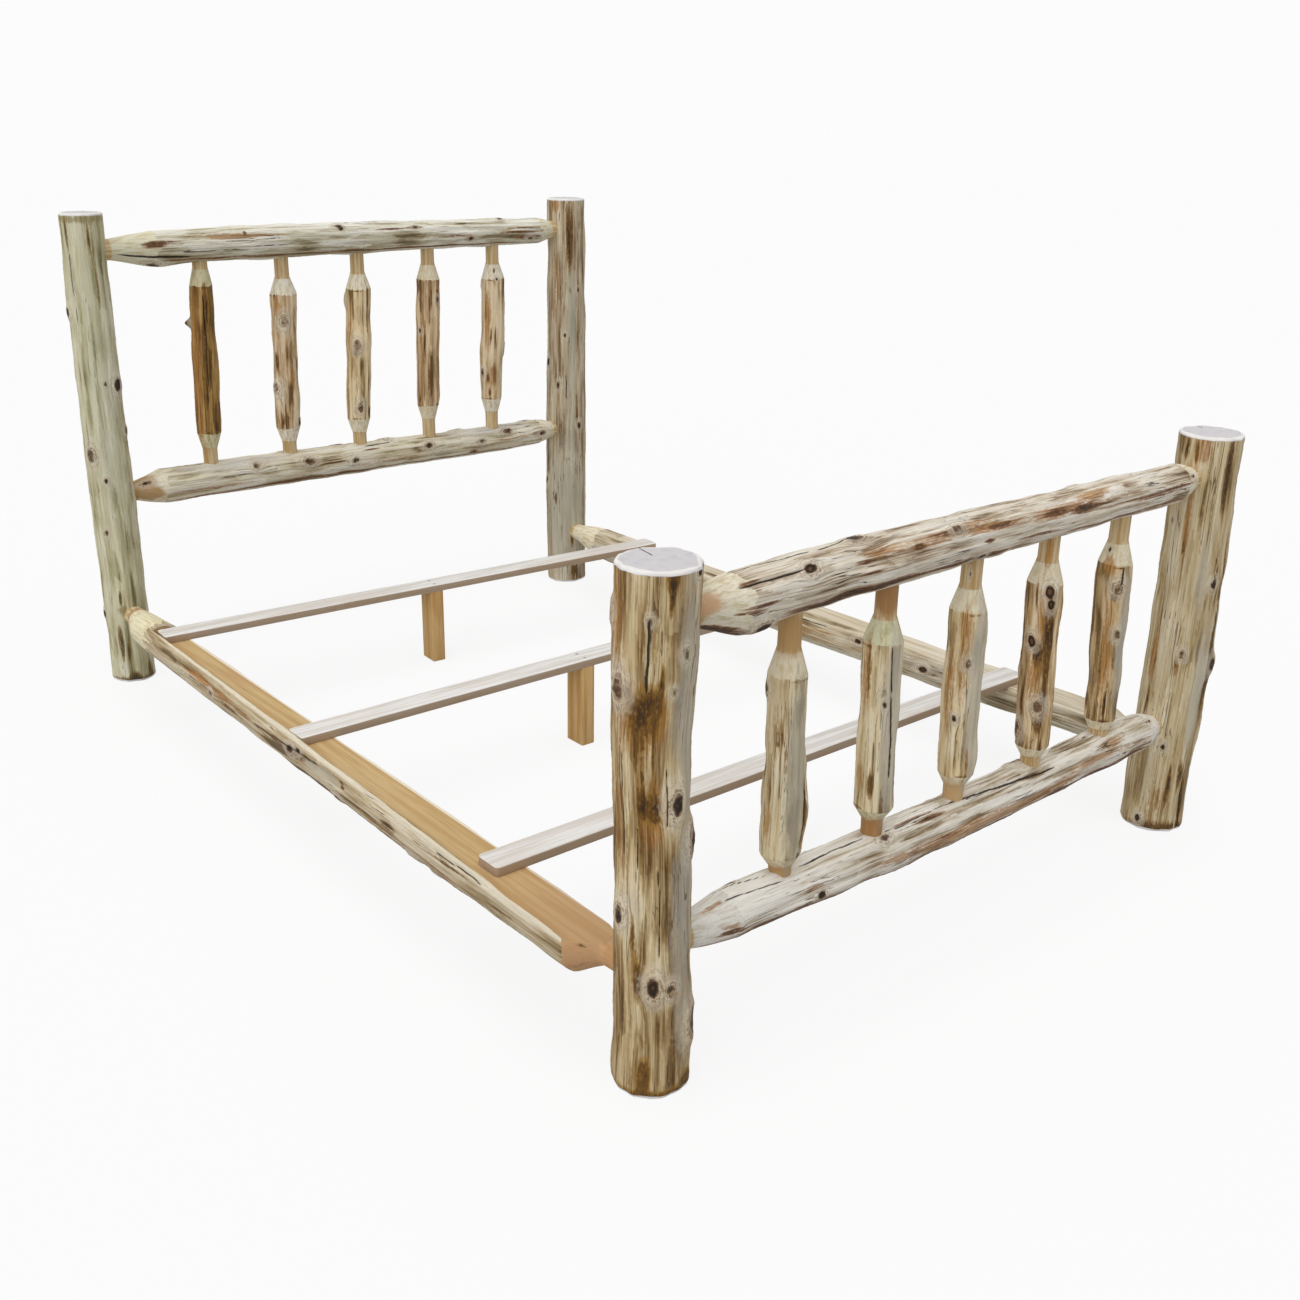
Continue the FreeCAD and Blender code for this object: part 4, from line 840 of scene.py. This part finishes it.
# ---- spindles ----
spindleShape = {
    "axis": "z", "around": 72, "step": 3.2, "turned": (2, 2), "blur": 40, "coneBlur": 4, "tenonShows": 6,
    "bevel": (2, 2), "flats": (0.2,), "spareKnots": 3, "spareArc": (0, 110), "steady": 0.75, "rim": 1.1,
    "rimShadow": 0.9, "knotDepth": 1, "wornRim": 0, "domain": "POINT"}
knottyLook = {
    "steps": (0.21, 0.35, 0.5, 0.66), "lumps": 0.9, "flutes": 0.7, "strokes": 0.7, "stroke": (90, 13),
    "hollowShade": 0.6, "streaks": {"patch": 0.6, "broad": 0.9, "strip": 0.4, "fine": 0.3}, "soft": 0.2,
    "bark": "#98703C", "grey": "#C2BCAC", "orange": "#C08C4C", "orangeDark": "#94642F",
    "coneLight": "#E6DCC2", "coneDark": "#D3C29C", "tenonLight": "#D6C097", "tenonDark": "#BB9A68"}
spindles = {
    "headboard_spindle_1": {
        "rings": [
            (510, 19, -464.1, 1106.5), (595.6, 19, -464.1, 1106.5), (639.6, 31.5, -462, 1106.5),
            (755.8, 33.5, -457.2, 1106.5), (891.4, 31.2, -452.2, 1107.8), (1027, 29.1, -447.8, 1106.5),
            (1074, 19, -445.8, 1106.5), (1127, 19, -445.8, 1106.5)],
        "knots": [(930, 158, 5.5, 17), (840, 60, 5, 2)],
        "dark": [
            (930, 150, 22, 14, 1.8), (900, -104, 130, 4, 1.3), (980, -90, 60, 4, 1.3),
            (780, -115, 150, 3.5, 1.1)],
        "orange": [(800, -160, 220, 14, 1.4)],
        "checks": [(1010, -107, 900, -104, 2.2), (985, -90, 930, -90, 1.8), (900, -100, 700, -112, 1.6)],
        "look": {
            "colours": ["#4E3614", "#7C5C2C", "#A38047", "#C49C62", "#DAB680"], "coneLight": "#DAD2AE",
            "coneDark": "#B8AC84"},
    },
    "headboard_spindle_2": {
        "rings": [
            (510, 19, -230.9, 1106.5), (583.2, 19, -230.9, 1106.5), (627.2, 32.8, -230.9, 1106.5),
            (754.4, 33.2, -226.1, 1107.2), (881.6, 32.2, -222.6, 1106.5), (990.6, 36.2, -217.2, 1106.5),
            (1037.6, 19, -217.2, 1106.5), (1127, 19, -217.2, 1106.5)],
        "knots": [(920, -118, 9, 2.5, 0.7), (739, -166, 9, 5, 0.75), (643, -52, 8, 4), (845, 40, 6, 3)],
        "orange": [(955, -145, 30, 12, 1.5), (767, -83, 22, 8, 1.3), (850, -110, 100, 10, 0.4)],
        "dark": [(811, -161, 26, 8, 1.5), (786, -50, 34, 5, 1.5), (646, -141, 22, 6, 1.3)],
        "pale": [(739, -150, 30, 12, 1.4), (820, -130, 220, 60, 0.4)],
        "look": {
            "colours": ["#664A28", "#A2835A", "#CDB28C", "#E0CBA8", "#EEDDBE"], "coneLight": "#EDE7D8"},
    },
    "headboard_spindle_3": {
        "rings": [
            (510, 19, -9.1, 1106.5), (581.4, 19, -9.1, 1106.5), (625.4, 32.5, -9.1, 1106.5),
            (735, 34.8, -2.3, 1106.5), (881.1, 32.8, 5.3, 1105.2), (990.6, 35.2, 11.4, 1106.5),
            (1037.6, 19, 11.4, 1106.5), (1127, 19, 11.4, 1106.5)],
        "knots": [(839, -125, 9, 5, 0.7), (662, -110, 8, 4, 0.77), (959, 152, 7, 8), (760, 30, 6, 3)],
        "dark": [
            (930, -74, 70, 5, 1.4), (738, -64, 40, 4, 1.4), (644, -58, 16, 6, 1.5), (826, -132, 24, 6, 1.3)
            ],
        "orange": [(860, -165, 130, 14, 0.9), (835, -122, 13, 9, 1.2), (740, -120, 100, 12, 0.4)],
        "pale": [(800, -130, 220, 60, 0.5)],
        "look": {
            "colours": ["#6E522A", "#B59C70", "#DFC89E", "#ECD8B0", "#F2E4C6"], "coneLight": "#EFE8D4"},
    },
    "headboard_spindle_4": {
        "rings": [
            (510, 19, 224, 1106.5), (593.7, 19, 224, 1106.5), (637.7, 31.2, 224, 1106.5),
            (765.8, 32.8, 229.6, 1106.5), (912.1, 33.5, 236.7, 1106.5), (1003.6, 33.5, 239.4, 1106.5),
            (1050.6, 19, 240, 1106.5), (1127, 19, 240, 1106.5)],
        "knots": [(947, -75, 5, 2), (860, -165, 5, 2), (700, 50, 6, 3)],
        "dark": [
            (985, 178, 24, 6, 1.5), (955, -72, 26, 6, 1.6), (830, -138, 65, 3, 1.5),
            (955, -107, 40, 3, 1.4), (712, -117, 55, 3, 1.5), (730, -66, 80, 5, 1.3),
            (659, -171, 14, 5, 1.3)],
        "orange": [(800, -160, 170, 10, 0.8)],
        "pale": [(820, -130, 220, 60, 0.3)],
        "checks": [(985, -112, 870, -118, 1.4), (860, -138, 780, -138, 1.3)],
        "look": {"colours": ["#5E4524", "#9C7E5A", "#C8AA84", "#E2C9A2", "#EFDCBA"]},
    },
    "headboard_spindle_5": {
        "rings": [
            (510, 19, 450.3, 1106.5), (589.4, 19, 450.3, 1106.5), (633.4, 30.8, 450.3, 1106.5),
            (723.6, 33.2, 451.8, 1106.5), (850, 34.8, 461.3, 1106.5), (994.3, 34.2, 465.4, 1106.5),
            (1041.3, 19, 464.1, 1106.5), (1127, 19, 464.1, 1106.5)],
        "knots": [(979, 147, 6, 3), (995, -103, 4, 1.5), (717, -172, 6, 3), (783, -38, 9, 6)],
        "orange": [(880, -148, 90, 9, 1.3), (700, -120, 60, 10, 0.8)],
        "dark": [
            (827, -131, 24, 3, 1.4), (820, -110, 30, 3, 1.4), (714, -172, 16, 5, 1.4),
            (701, -141, 14, 5, 1.3), (658, -131, 14, 5, 1.3), (1018, -115, 8, 4, 1.3)],
        "pale": [(820, -130, 220, 60, 0.3)],
        "look": {
            "colours": ["#7A5A34", "#BA9E78", "#DAC29C", "#E8D6B4", "#F1E4CA"], "coneLight": "#EDE7D8"},
    },
    "footboard_spindle_1": {
        "rings": [
            (246, 19, -457.2, -1106.5), (294.1, 19, -457.2, -1106.5), (320.1, 33.5, -460.6, -1106.5),
            (427, 34.8, -457.5, -1106.5), (530.7, 31.2, -460.3, -1106.5), (644, 32.8, -464.1, -1106.5),
            (691, 19, -464.1, -1106.5), (795, 19, -464.1, -1106.5)],
        "knots": [(621, 155, 6, 3, 0.9), (323, -72, 4, 1), (275, -130, 4, 0.3, 0.9)],
        "heart": [(715, -135, 34, 70, 1.5), (270, -130, 36, 90, 1.6)],
        "dark": [
            (545, -146, 34, 3.5, 1), (500, -132, 50, 2.5, 0.9), (620, 150, 24, 6, 1.2),
            (400, -60, 70, 5, 1.3)],
        "orange": [(387, 180, 34, 7, 1.3), (540, -165, 100, 9, 0.7)],
        "grey": [(470, -95, 210, 26, 1.1)],
        "pale": [(500, -150, 220, 30, 0.6)],
        "checks": [(464, -60, 330, -66, 2)],
        "swells": [(395, -45, 62, 12, 8)],
        "look": {
            "colours": ["#7A5C34", "#BFA67E", "#DECDA6", "#EBDDBC", "#F2E8CC"], "heart": "#B8925F",
            "grey": "#A9A392"},
    },
    "footboard_spindle_2": {
        "rings": [
            (246, 19, -228.6, -1106.5), (310.6, 19, -228.6, -1106.5), (336.6, 35.5, -227.9, -1106.5),
            (446.1, 34.2, -231.8, -1106.5), (555.6, 32.5, -235, -1106.5), (649.5, 34.8, -237.7, -1106.5),
            (696.5, 19, -237.7, -1106.5), (795, 19, -237.7, -1106.5)],
        "knots": [(543, -122, 4, 1, 0.9), (565, -130, 3.5, 1, 0.8), (430, 60, 6, 3)],
        "heart": [(735, -130, 34, 50, 1.6), (280, -140, 40, 90, 1.6)],
        "orange": [(590, 175, 80, 12, 1.1), (400, 170, 40, 10, 0.9)],
        "dark": [(600, -176, 50, 4, 1.1), (391, -152, 26, 6, 1.4)],
        "grey": [(500, -92, 190, 26, 1.2)],
        "pale": [(500, -150, 220, 40, 0.4)],
        "checks": [(648, -110, 560, -100, 2.2), (560, -100, 390, -91, 2.2)],
        "look": {
            "colours": ["#6E5634", "#B29E78", "#DCC79C", "#EADCBA", "#F1E8CE"], "heart": "#A37444",
            "coneLight": "#DAD7B6", "coneDark": "#BDB388"},
    },
    "footboard_spindle_3": {
        "rings": [
            (246, 19, -2.3, -1106.5), (308.9, 19, -2.3, -1106.5), (334.9, 32.2, -2.3, -1106.5),
            (448.5, 34.2, -5.6, -1106.5), (578.3, 33.5, -10.2, -1106.5), (659.4, 32.8, -13.7, -1106.5),
            (706.4, 19, -13.7, -1106.5), (795, 19, -13.7, -1106.5)],
        "knots": [(455, -159, 5, 2), (563, -130, 6, 1.5, 0.8), (728, -150, 3.5, 0.2, 0.9), (380, 40, 6, 3)],
        "orange": [(640, -150, 30, 10, 1), (560, -140, 90, 9, 1), (500, 180, 120, 12, 0.8)],
        "grey": [(500, -85, 200, 26, 1.3)],
        "dark": [(360, -110, 40, 3, 1.3)],
        "heart": [(280, -140, 44, 90, 1.5)],
        "pale": [(500, -150, 220, 40, 0.4)],
        "swells": [(612, -52, 34, 14, 5), (370, -60, 40, 14, 4)],
        "look": {"colours": ["#785A30", "#B49A6C", "#DCC49A", "#E8D6B0", "#F1E6CC"], "heart": "#C8A678"},
    },
    "footboard_spindle_4": {
        "rings": [
            (246, 19, 235.5, -1106.5), (299.6, 19, 235.5, -1106.5), (325.6, 32.2, 234.1, -1106.5),
            (427.6, 33.2, 228.6, -1106.5), (563.5, 32.2, 219.5, -1106.5), (665.4, 33.5, 212.6, -1106.5),
            (712.4, 19, 212.6, -1106.5), (795, 19, 212.6, -1106.5)],
        "knots": [
            (655, -124, 9, 2, 1.4), (628, -119, 7, 0.8, 1.3), (554, -177, 8, 2.5, 1.4),
            (419, -135, 9, 3, 0.84), (363, 155, 8, 5, 0.84)],
        "dark": [
            (583, -118, 60, 11, 2), (640, -168, 40, 3, 1), (527, -152, 26, 9, 1.7), (470, -119, 60, 5, 1.6),
            (383, -130, 20, 8, 1.6), (440, -125, 14, 6, 1.5)],
        "pale": [(540, -95, 100, 9, 1.4), (560, -168, 160, 12, 1.2)],
        "orange": [
            (600, -150, 70, 9, 1.1), (480, -160, 80, 14, 1), (363, 158, 20, 8, 1.4),
            (730, -140, 30, 14, 1.2)],
        "look": {"colours": ["#4C3216", "#8A6A40", "#C2A476", "#E0C69E", "#EFDCBA"]},
    },
    "footboard_spindle_5": {
        "rings": [
            (246, 19, 466.3, -1106.5), (295.2, 19, 466.3, -1106.5), (321.2, 30.8, 466.3, -1106.5),
            (440.2, 32.2, 459, -1106.5), (559.1, 32.8, 450.3, -1106.5), (661, 33.2, 443.5, -1106.5),
            (708, 19, 443.5, -1106.5), (795, 19, 443.5, -1106.5)],
        "knots": [(617, -128, 9, 2.5, 0.8), (517, -120, 6, 2, 0.86), (690, 178, 4, 1), (420, 30, 6, 3)],
        "orange": [(662, -172, 16, 12, 1.8), (480, -150, 140, 12, 1.1)],
        "dark": [
            (597, -142, 10, 7, 1.6), (351, -138, 40, 3.5, 1.6), (363, 140, 24, 8, 1.4),
            (440, -165, 70, 3, 1.1)],
        "grey": [(500, -85, 180, 22, 1)],
        "checks": [(660, -117, 620, -118, 2.4), (400, -132, 335, -140, 1.6)],
        "look": {"colours": ["#64491F", "#987C50", "#C8AC80", "#E0C69E", "#EFDAB6"]},
    },
}
makeLogs(spindles, spindleShape, {**cedarLook, **knottyLook}, 300)
print("spindles carved")


# ---- side rails, sawn to a ledge ----
def withoutPart(piece, cutter):
    # Cuts the cutter's shape out of the piece and gives the cut faces the cutter's material.
    modifier = piece.modifiers.new("cut", "BOOLEAN")
    modifier.object = cutter
    modifier.operation = "DIFFERENCE"
    modifier.solver = "EXACT"
    modifier.material_mode = "TRANSFER"
    bpy.context.view_layer.update()
    made = piece.evaluated_get(bpy.context.evaluated_depsgraph_get())
    mesh = bpy.data.meshes.new_from_object(made)
    mesh.name = piece.data.name
    piece.modifiers.clear()
    piece.data = mesh
    bpy.data.objects.remove(cutter)


sideRailShape = {
    "axis": "y", "around": 112, "step": 4.2, "turned": (3, 3), "blur": 80, "coneBlur": 9, "tenonShows": -2,
    "bevel": (2, 2), "flats": (0.2,), "spareKnots": 7, "spareArc": (-100, -30), "domain": "CORNER",
    "steady": 0.3, "rim": 0.6, "rimShadow": 0, "knotDepth": 1, "wornRim": 0}
sideRailLook = {
    "colours": ["#5E4A30", "#98835F", "#B8A584", "#CEBFA2", "#E0D5BE"], "grey": "#B5AC9A", "lumps": 0.45,
    "strokes": 0.7, "streaks": {"patch": 0.6, "broad": 0.6, "strip": 0.45, "fine": 0.4},
    "steps": (0.2, 0.33, 0.45, 0.6), "dark": "#5A3E1E", "bark": "#8A6C48"}
sideRails = {
    "side_rail_left": {
        "rings": [
            (-1102.5, 25.5, -737.5, 187), (-1006.5, 25.5, -737.5, 187), (-983.5, 37.4, -747.2, 187),
            (-960.5, 52, -757, 187), (-510.8, 53.5, -757, 187), (29, 50.5, -757, 187),
            (478.7, 48, -754.1, 187), (838.5, 46.5, -752.1, 187), (936, 42.3, -752.1, 187),
            (1033.5, 25.5, -737.5, 187), (1111.5, 25.5, -737.5, 187)],
        "knots": [
            (5, 168, 8, 2), (-25, 160, 6, 1.5), (-187, -150, 8, 3), (-480, -130, 9, 4), (-560, -128, 8, 4),
            (420, 178, 6, 2)],
        "heart": [(-1000, 180, 48, 200, 2.6)],
        "dark": [
            # the second patch here is painted shade along the whole underside
            (-984, 152, 9, 6, 0.8), (0, -138, 900, 11, 1.3), (-10, 166, 42, 10, 1.8),
            (100, 168, 45, 4, 1.4), (165, 172, 26, 3, 1.4), (-216, 160, 9, 3, 1.6), (-222, 168, 9, 3, 1.6),
            (-405, 178, 26, 6, 1.6), (-620, 168, 90, 4, 1.1), (330, -178, 60, 5, 1.2),
            (-300, -170, 120, 5, 1.2)],
        "orange": [
            (-500, -160, 300, 10, 0.8), (500, 160, 70, 12, 1.2), (360, 165, 50, 8, 1.2),
            (240, 168, 80, 10, 0.8), (1020, 180, 16, 200, 1.8)],
        "grey": [(-130, 170, 100, 14, 1)],
        "pale": [(-700, 155, 300, 9, 0.8), (-72, 141, 960, 3.5, 2.4, -0.0158)],
        "checks": [(100, 166, -120, 160, 1.8), (-560, 160, -740, 158, 1.6), (640, 176, 420, 172, 1.4)],
        "look": {"heart": "#C08E60", "coneLight": "#E9E1C4", "coneDark": "#CFC090"},
    },
    "side_rail_right": {
        "rings": [
            (-1099.5, 25.5, 737.5, 187), (-1003.5, 25.5, 737.5, 187), (-980.5, 36.5, 737.5, 188.4),
            (-957.5, 50, 737.5, 189.8), (-491.8, 50, 729.7, 174.4), (-26, 52, 731.6, 160.7),
            (309.3, 52, 733.6, 159), (905.5, 47, 737.5, 163.8), (965.5, 38.4, 737.5, 166.9),
            (1025.5, 25.5, 737.5, 170), (1103.5, 25.5, 737.5, 170)],
        "knots": [
            (-469, -179, 9, 2, 1.2), (-250, 160, 7, 2), (120, 172, 7, 2), (520, 165, 6, 2),
            (-640, 175, 6, 2)],
        "orange": [(150, 175, 500, 26, 0.7), (300, -160, 500, 12, 0.6)],
        "dark": [(-485, -175, 26, 4, 1.5), (-250, 165, 50, 5, 1), (300, -160, 300, 8, 1)],
        "grey": [(-500, 170, 260, 30, 0.7)],
        "checks": [(-150, 150, 60, 154, 1.6)],
        "look": {
            "orange": "#C2935A", "orangeDark": "#9A6C38",
            "colours": ["#5E4E38", "#9B8A6C", "#BDAF92", "#D2C7B0", "#E2DACA"]},
    },
}
rabbet = {
    "height": 206.5, "footStart": -1006.5, "headEnd": 815.7, "wallFoot": 66.5, "wallHead": 42.5,
    "across": 737.5, "width": 210, "top": 120}
makeLogs(sideRails, sideRailShape, {**cedarLook, **sideRailLook}, 400)
ledgeLooks = {
    "side_rail_left": {
        "light": "#CBAE7E", "dark": "#BC9A66", "line": "#A07C4C", "lines": 0.3, "patch": "#B88C66",
        "patches": 0.3, "knotRing": "#B08452", "knotSpacing": 330, "knotSize": 13, "sap": "#EAE0CC",
        "sapwood": (-756, 187, 47.5, 41)},
    "side_rail_right": {
        "light": "#DDD3BF", "dark": "#C4B597", "line": "#A08B68", "lines": 0.4, "patch": "#B9A27C",
        "patches": 0.4, "knotRing": "#9C8058", "knotSpacing": 260, "knotSize": 12},
}
for side, (node, ledgeLook) in zip((-1, 1), ledgeLooks.items()):
    ledgeWood = sawnCedar(f"sawn_cedar_{node}", ledgeLook, "y")
    block = bmesh.new()
    bmesh.ops.create_cube(block, size=1)
    for vert in block.verts:
        y = rabbet["footStart"] if vert.co.y < 0 else rabbet["headEnd"]
        wall = side * (rabbet["across"] + (rabbet["wallFoot"] if vert.co.y < 0 else rabbet["wallHead"]))
        x = wall if vert.co.x * side > 0 else wall - side * rabbet["width"]
        z = rabbet["height"] + (0 if vert.co.z < 0 else rabbet["top"])
        vert.co = Vector((x, y, z)) * mm
    bmesh.ops.recalc_face_normals(block, faces=block.faces)
    cutter = addObject("rabbet", meshOf("rabbet", block), [ledgeWood])
    withoutPart(bpy.data.objects[f"peeled_{node}"], cutter)
print("side rails sawn")


# ---- slats and centre legs ----
slatLook = {
    "light": "#E9E7E4", "dark": "#D6D0C8", "line": "#B3A797", "lines": 0.5, "patch": "#D8CFC6",
    "patches": 0.6, "knotRing": "#C0A683", "knotSpacing": 420, "knotSize": 12, "edge": "#A08260"}
legLook = {
    "light": "#D9B57D", "dark": "#C29558", "line": "#A2763F", "lines": 0.45, "patch": "#B88A50",
    "patches": 0.5, "knotRing": "#A87A44", "knotSpacing": 150, "knotSize": 9}
slatWood = sawnCedar("planed_cedar_slat", slatLook, "x")
legWood = sawnCedar("sawn_cedar_leg", legLook, "z")


def sawnBoard(name, shape, centre, skew, material, seed):
    # A board with rounded corners and eased edges, its ends moved by a fraction of a millimetre.
    size = [v * mm for v in shape["size"]]
    board = bmesh.new()
    bmesh.ops.create_cube(board, size=1, matrix=Matrix.Diagonal((*size, 1)))
    upright = [e for e in board.edges if abs(e.verts[0].co.z - e.verts[1].co.z) > 0.9 * size[2]]
    bmesh.ops.bevel(board, geom=upright, offset=shape["corner"] * mm, offset_type="OFFSET", segments=6,
                    profile=0.5, affect="EDGES", material=-1)
    rims = [e for e in board.edges if e.calc_face_angle(0) > 1.2]
    bmesh.ops.bevel(board, geom=rims, offset=shape["edge"] * mm, offset_type="OFFSET", segments=3,
                    profile=0.5, affect="EDGES", material=-1)
    longest = max(range(3), key=lambda i: size[i])
    across, up = [i for i in range(3) if i != longest]
    random = np.random.default_rng(seed)
    phase = random.uniform(0, 6.28, 4)
    wobble = shape["wobble"] * mm
    for vert in board.verts:
        t = vert.co[longest]
        drift = [wobble * (math.sin(t / 0.21 + phase[0]) + 0.5 * math.sin(t / 0.083 + phase[1])),
                 wobble * (math.sin(t / 0.17 + phase[2]) + 0.5 * math.sin(t / 0.069 + phase[3]))]
        vert.co[across] += drift[0] if longest == 0 else 0.6 * drift[0]
        vert.co[up] -= abs(drift[1]) * (1 if vert.co[up] > 0 else -0.2)
    bmesh.ops.rotate(board, verts=board.verts, cent=(0, 0, 0),
                     matrix=Matrix.Rotation(math.radians(skew), 3, "Z"))
    bmesh.ops.translate(board, verts=board.verts, vec=centre)
    mesh = meshOf(name, board)
    mesh.polygons.foreach_set("use_smooth", np.ones(len(mesh.polygons), bool))
    return addObject(name, mesh, [material])


slatShape = {"size": (1524, 64, 19), "corner": 9, "edge": 1.6, "wobble": 0.25}
legShape = {"size": (38, 64, 206.5), "corner": 4, "edge": 1.2, "wobble": 0.12}
skews = (-3.6, 0, 0)   # the head slat lies askew
for number, skew in zip((1, 2, 3), skews):
    low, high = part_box(f"slat_{number}")
    slat = sawnBoard(f"sawn_slat_{number}", slatShape, (low + high) / 2, skew, slatWood, 500 + number)
    low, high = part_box(f"centre_leg_{number}")
    leg = sawnBoard(f"sawn_leg_{number}", legShape, (low + high) / 2, skew, legWood, 510 + number)
    finishPiece(slat, f"slat_{number}", f"slat_set_{number}")
    finishPiece(leg, f"centre_leg_{number}", f"slat_set_{number}")
print("slats and legs made")


# ---- plugs, bolts and screws ----
plugWood = sawnCedar("cut_cedar_plug", {**legLook, "light": "#C9A775", "dark": "#A67E4E"}, "y")
zinc, tree, shader = newMaterial("zinc_plated_steel")   # bright plated fasteners, slightly dulled
cloud = addNode(tree, "TexCoord", {}, "Object")
cloud = addNode(tree, "TexNoise", {"Vector": cloud, "Scale": 400, "Detail": 2})
setInputs(tree, shader, {
    "Base Color": paintLayers(tree, hexColour("#B9BCC2"), [(cloud, 0.4, 0.6, 1, "#8E9298")]),
    "Roughness": addNode(tree, "MapRange", {0: cloud, 1: 0.3, 2: 0.7, 3: 0.28, 4: 0.45}), "Metallic": 1})
for node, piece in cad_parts.items():
    if node in ("rail_lag_bolts", "lag_washers") or node.startswith("leg_screws"):
        piece.data.materials.clear()
        piece.data.materials.append(zinc)
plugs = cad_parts["bolt_plugs"]
plugs.data.materials.clear()
plugs.data.materials.append(plugWood)


# ---- floor, light and camera ----
stageLook = {
    "size": 60, "floorDiffuse": "#BFBFBF", "shadowShare": 0.25, "floorGlow": 1.12, "sky": 0.42,
    "backdrop": 0.975}
# studio paper: the camera sees it nearly white with the object's shadow on it
floorPaint, tree, shader = newMaterial("matt_white_paper")
setInputs(tree, shader, {"Base Color": hexColour(stageLook["floorDiffuse"]), "Roughness": 0.95,
                         "Specular IOR Level": 0})
rays = addNode(tree, "LightPath", {}).node.outputs
seen = addNode(tree, "Math", {0: rays["Is Camera Ray"], 1: rays["Is Glossy Ray"]}, operation="MAXIMUM")
seen = addNode(tree, "Math", {0: seen, 1: 1 - stageLook["shadowShare"]}, operation="MULTIPLY")
glow = addNode(tree, "Emission", {"Color": (1, 1, 1, 1), "Strength": stageLook["floorGlow"]})
mixed = addNode(tree, "MixShader", {0: seen, 1: shader.outputs[0], 2: glow})
tree.links.new(mixed, tree.nodes["Material Output"].inputs["Surface"])
plane = bmesh.new()
bmesh.ops.create_grid(plane, x_segments=1, y_segments=1, size=stageLook["size"] / 2)
floor = addObject("floor", meshOf("floor", plane), [floorPaint])

world = scene.world or bpy.data.worlds.new("world")
scene.world = world
world.use_nodes = True
tree = world.node_tree
tree.nodes.clear()
rays = addNode(tree, "LightPath", {}).node.outputs
seen = addNode(tree, "Math", {0: rays["Is Glossy Ray"], 1: rays["Is Transmission Ray"]}, operation="MAXIMUM")
seen = addNode(tree, "Math", {0: rays["Is Camera Ray"], 1: seen}, operation="MAXIMUM")
dim = addNode(tree, "Background", {"Color": (1, 1, 1, 1), "Strength": stageLook["sky"]})
paper = addNode(tree, "Background", {"Color": (1, 1, 1, 1), "Strength": stageLook["backdrop"]})
both = addNode(tree, "MixShader", {0: seen, 1: dim, 2: paper})
tree.links.new(both, tree.nodes.new("ShaderNodeOutputWorld").inputs["Surface"])

lamps = {   # two wide soft suns, from above and from the left; angle is how wide each one looks
    "top": {"aim": (0.12, 0.1, -1), "angle": 75, "strength": 1.5},
    "key": {"aim": (1, 0.3, -0.55), "angle": 50, "strength": 0.85},
}
for name, lamp in lamps.items():
    light = bpy.data.lights.new(name, "SUN")
    light.angle = math.radians(lamp["angle"])
    light.energy = lamp["strength"]
    stand = bpy.data.objects.new(name, light)
    stand.rotation_euler = Vector(lamp["aim"]).to_track_quat("-Z", "Y").to_euler()
    stand.location = Vector(lamp["aim"]) * -4
    scene.collection.objects.link(stand)

shot = {
    "place": (-1.9932, -2.5813, 1.4829), "azimuth": 40.09, "down": 20.84, "roll": 1.09, "lens": 39.49,
    "sensor": 36}
azimuth, down, roll = (math.radians(shot[key]) for key in ("azimuth", "down", "roll"))
forward = Vector((math.sin(azimuth) * math.cos(down), math.cos(azimuth) * math.cos(down), -math.sin(down)))
right = forward.cross(Vector((0, 0, 1))).normalized()
up = right.cross(forward)
tiltedRight = math.cos(roll) * right + math.sin(roll) * up
tiltedUp = -math.sin(roll) * right + math.cos(roll) * up
cameraData = bpy.data.cameras.new("camera")
cameraData.lens = shot["lens"]
cameraData.sensor_width = shot["sensor"]
camera = bpy.data.objects.new("camera", cameraData)
turn = Matrix((tiltedRight, tiltedUp, -forward)).transposed().to_4x4()
camera.matrix_world = Matrix.Translation(shot["place"]) @ turn
scene.collection.objects.link(camera)
scene.camera = camera
scene.view_settings.view_transform = "Standard"
print("stage, lamps and camera set")
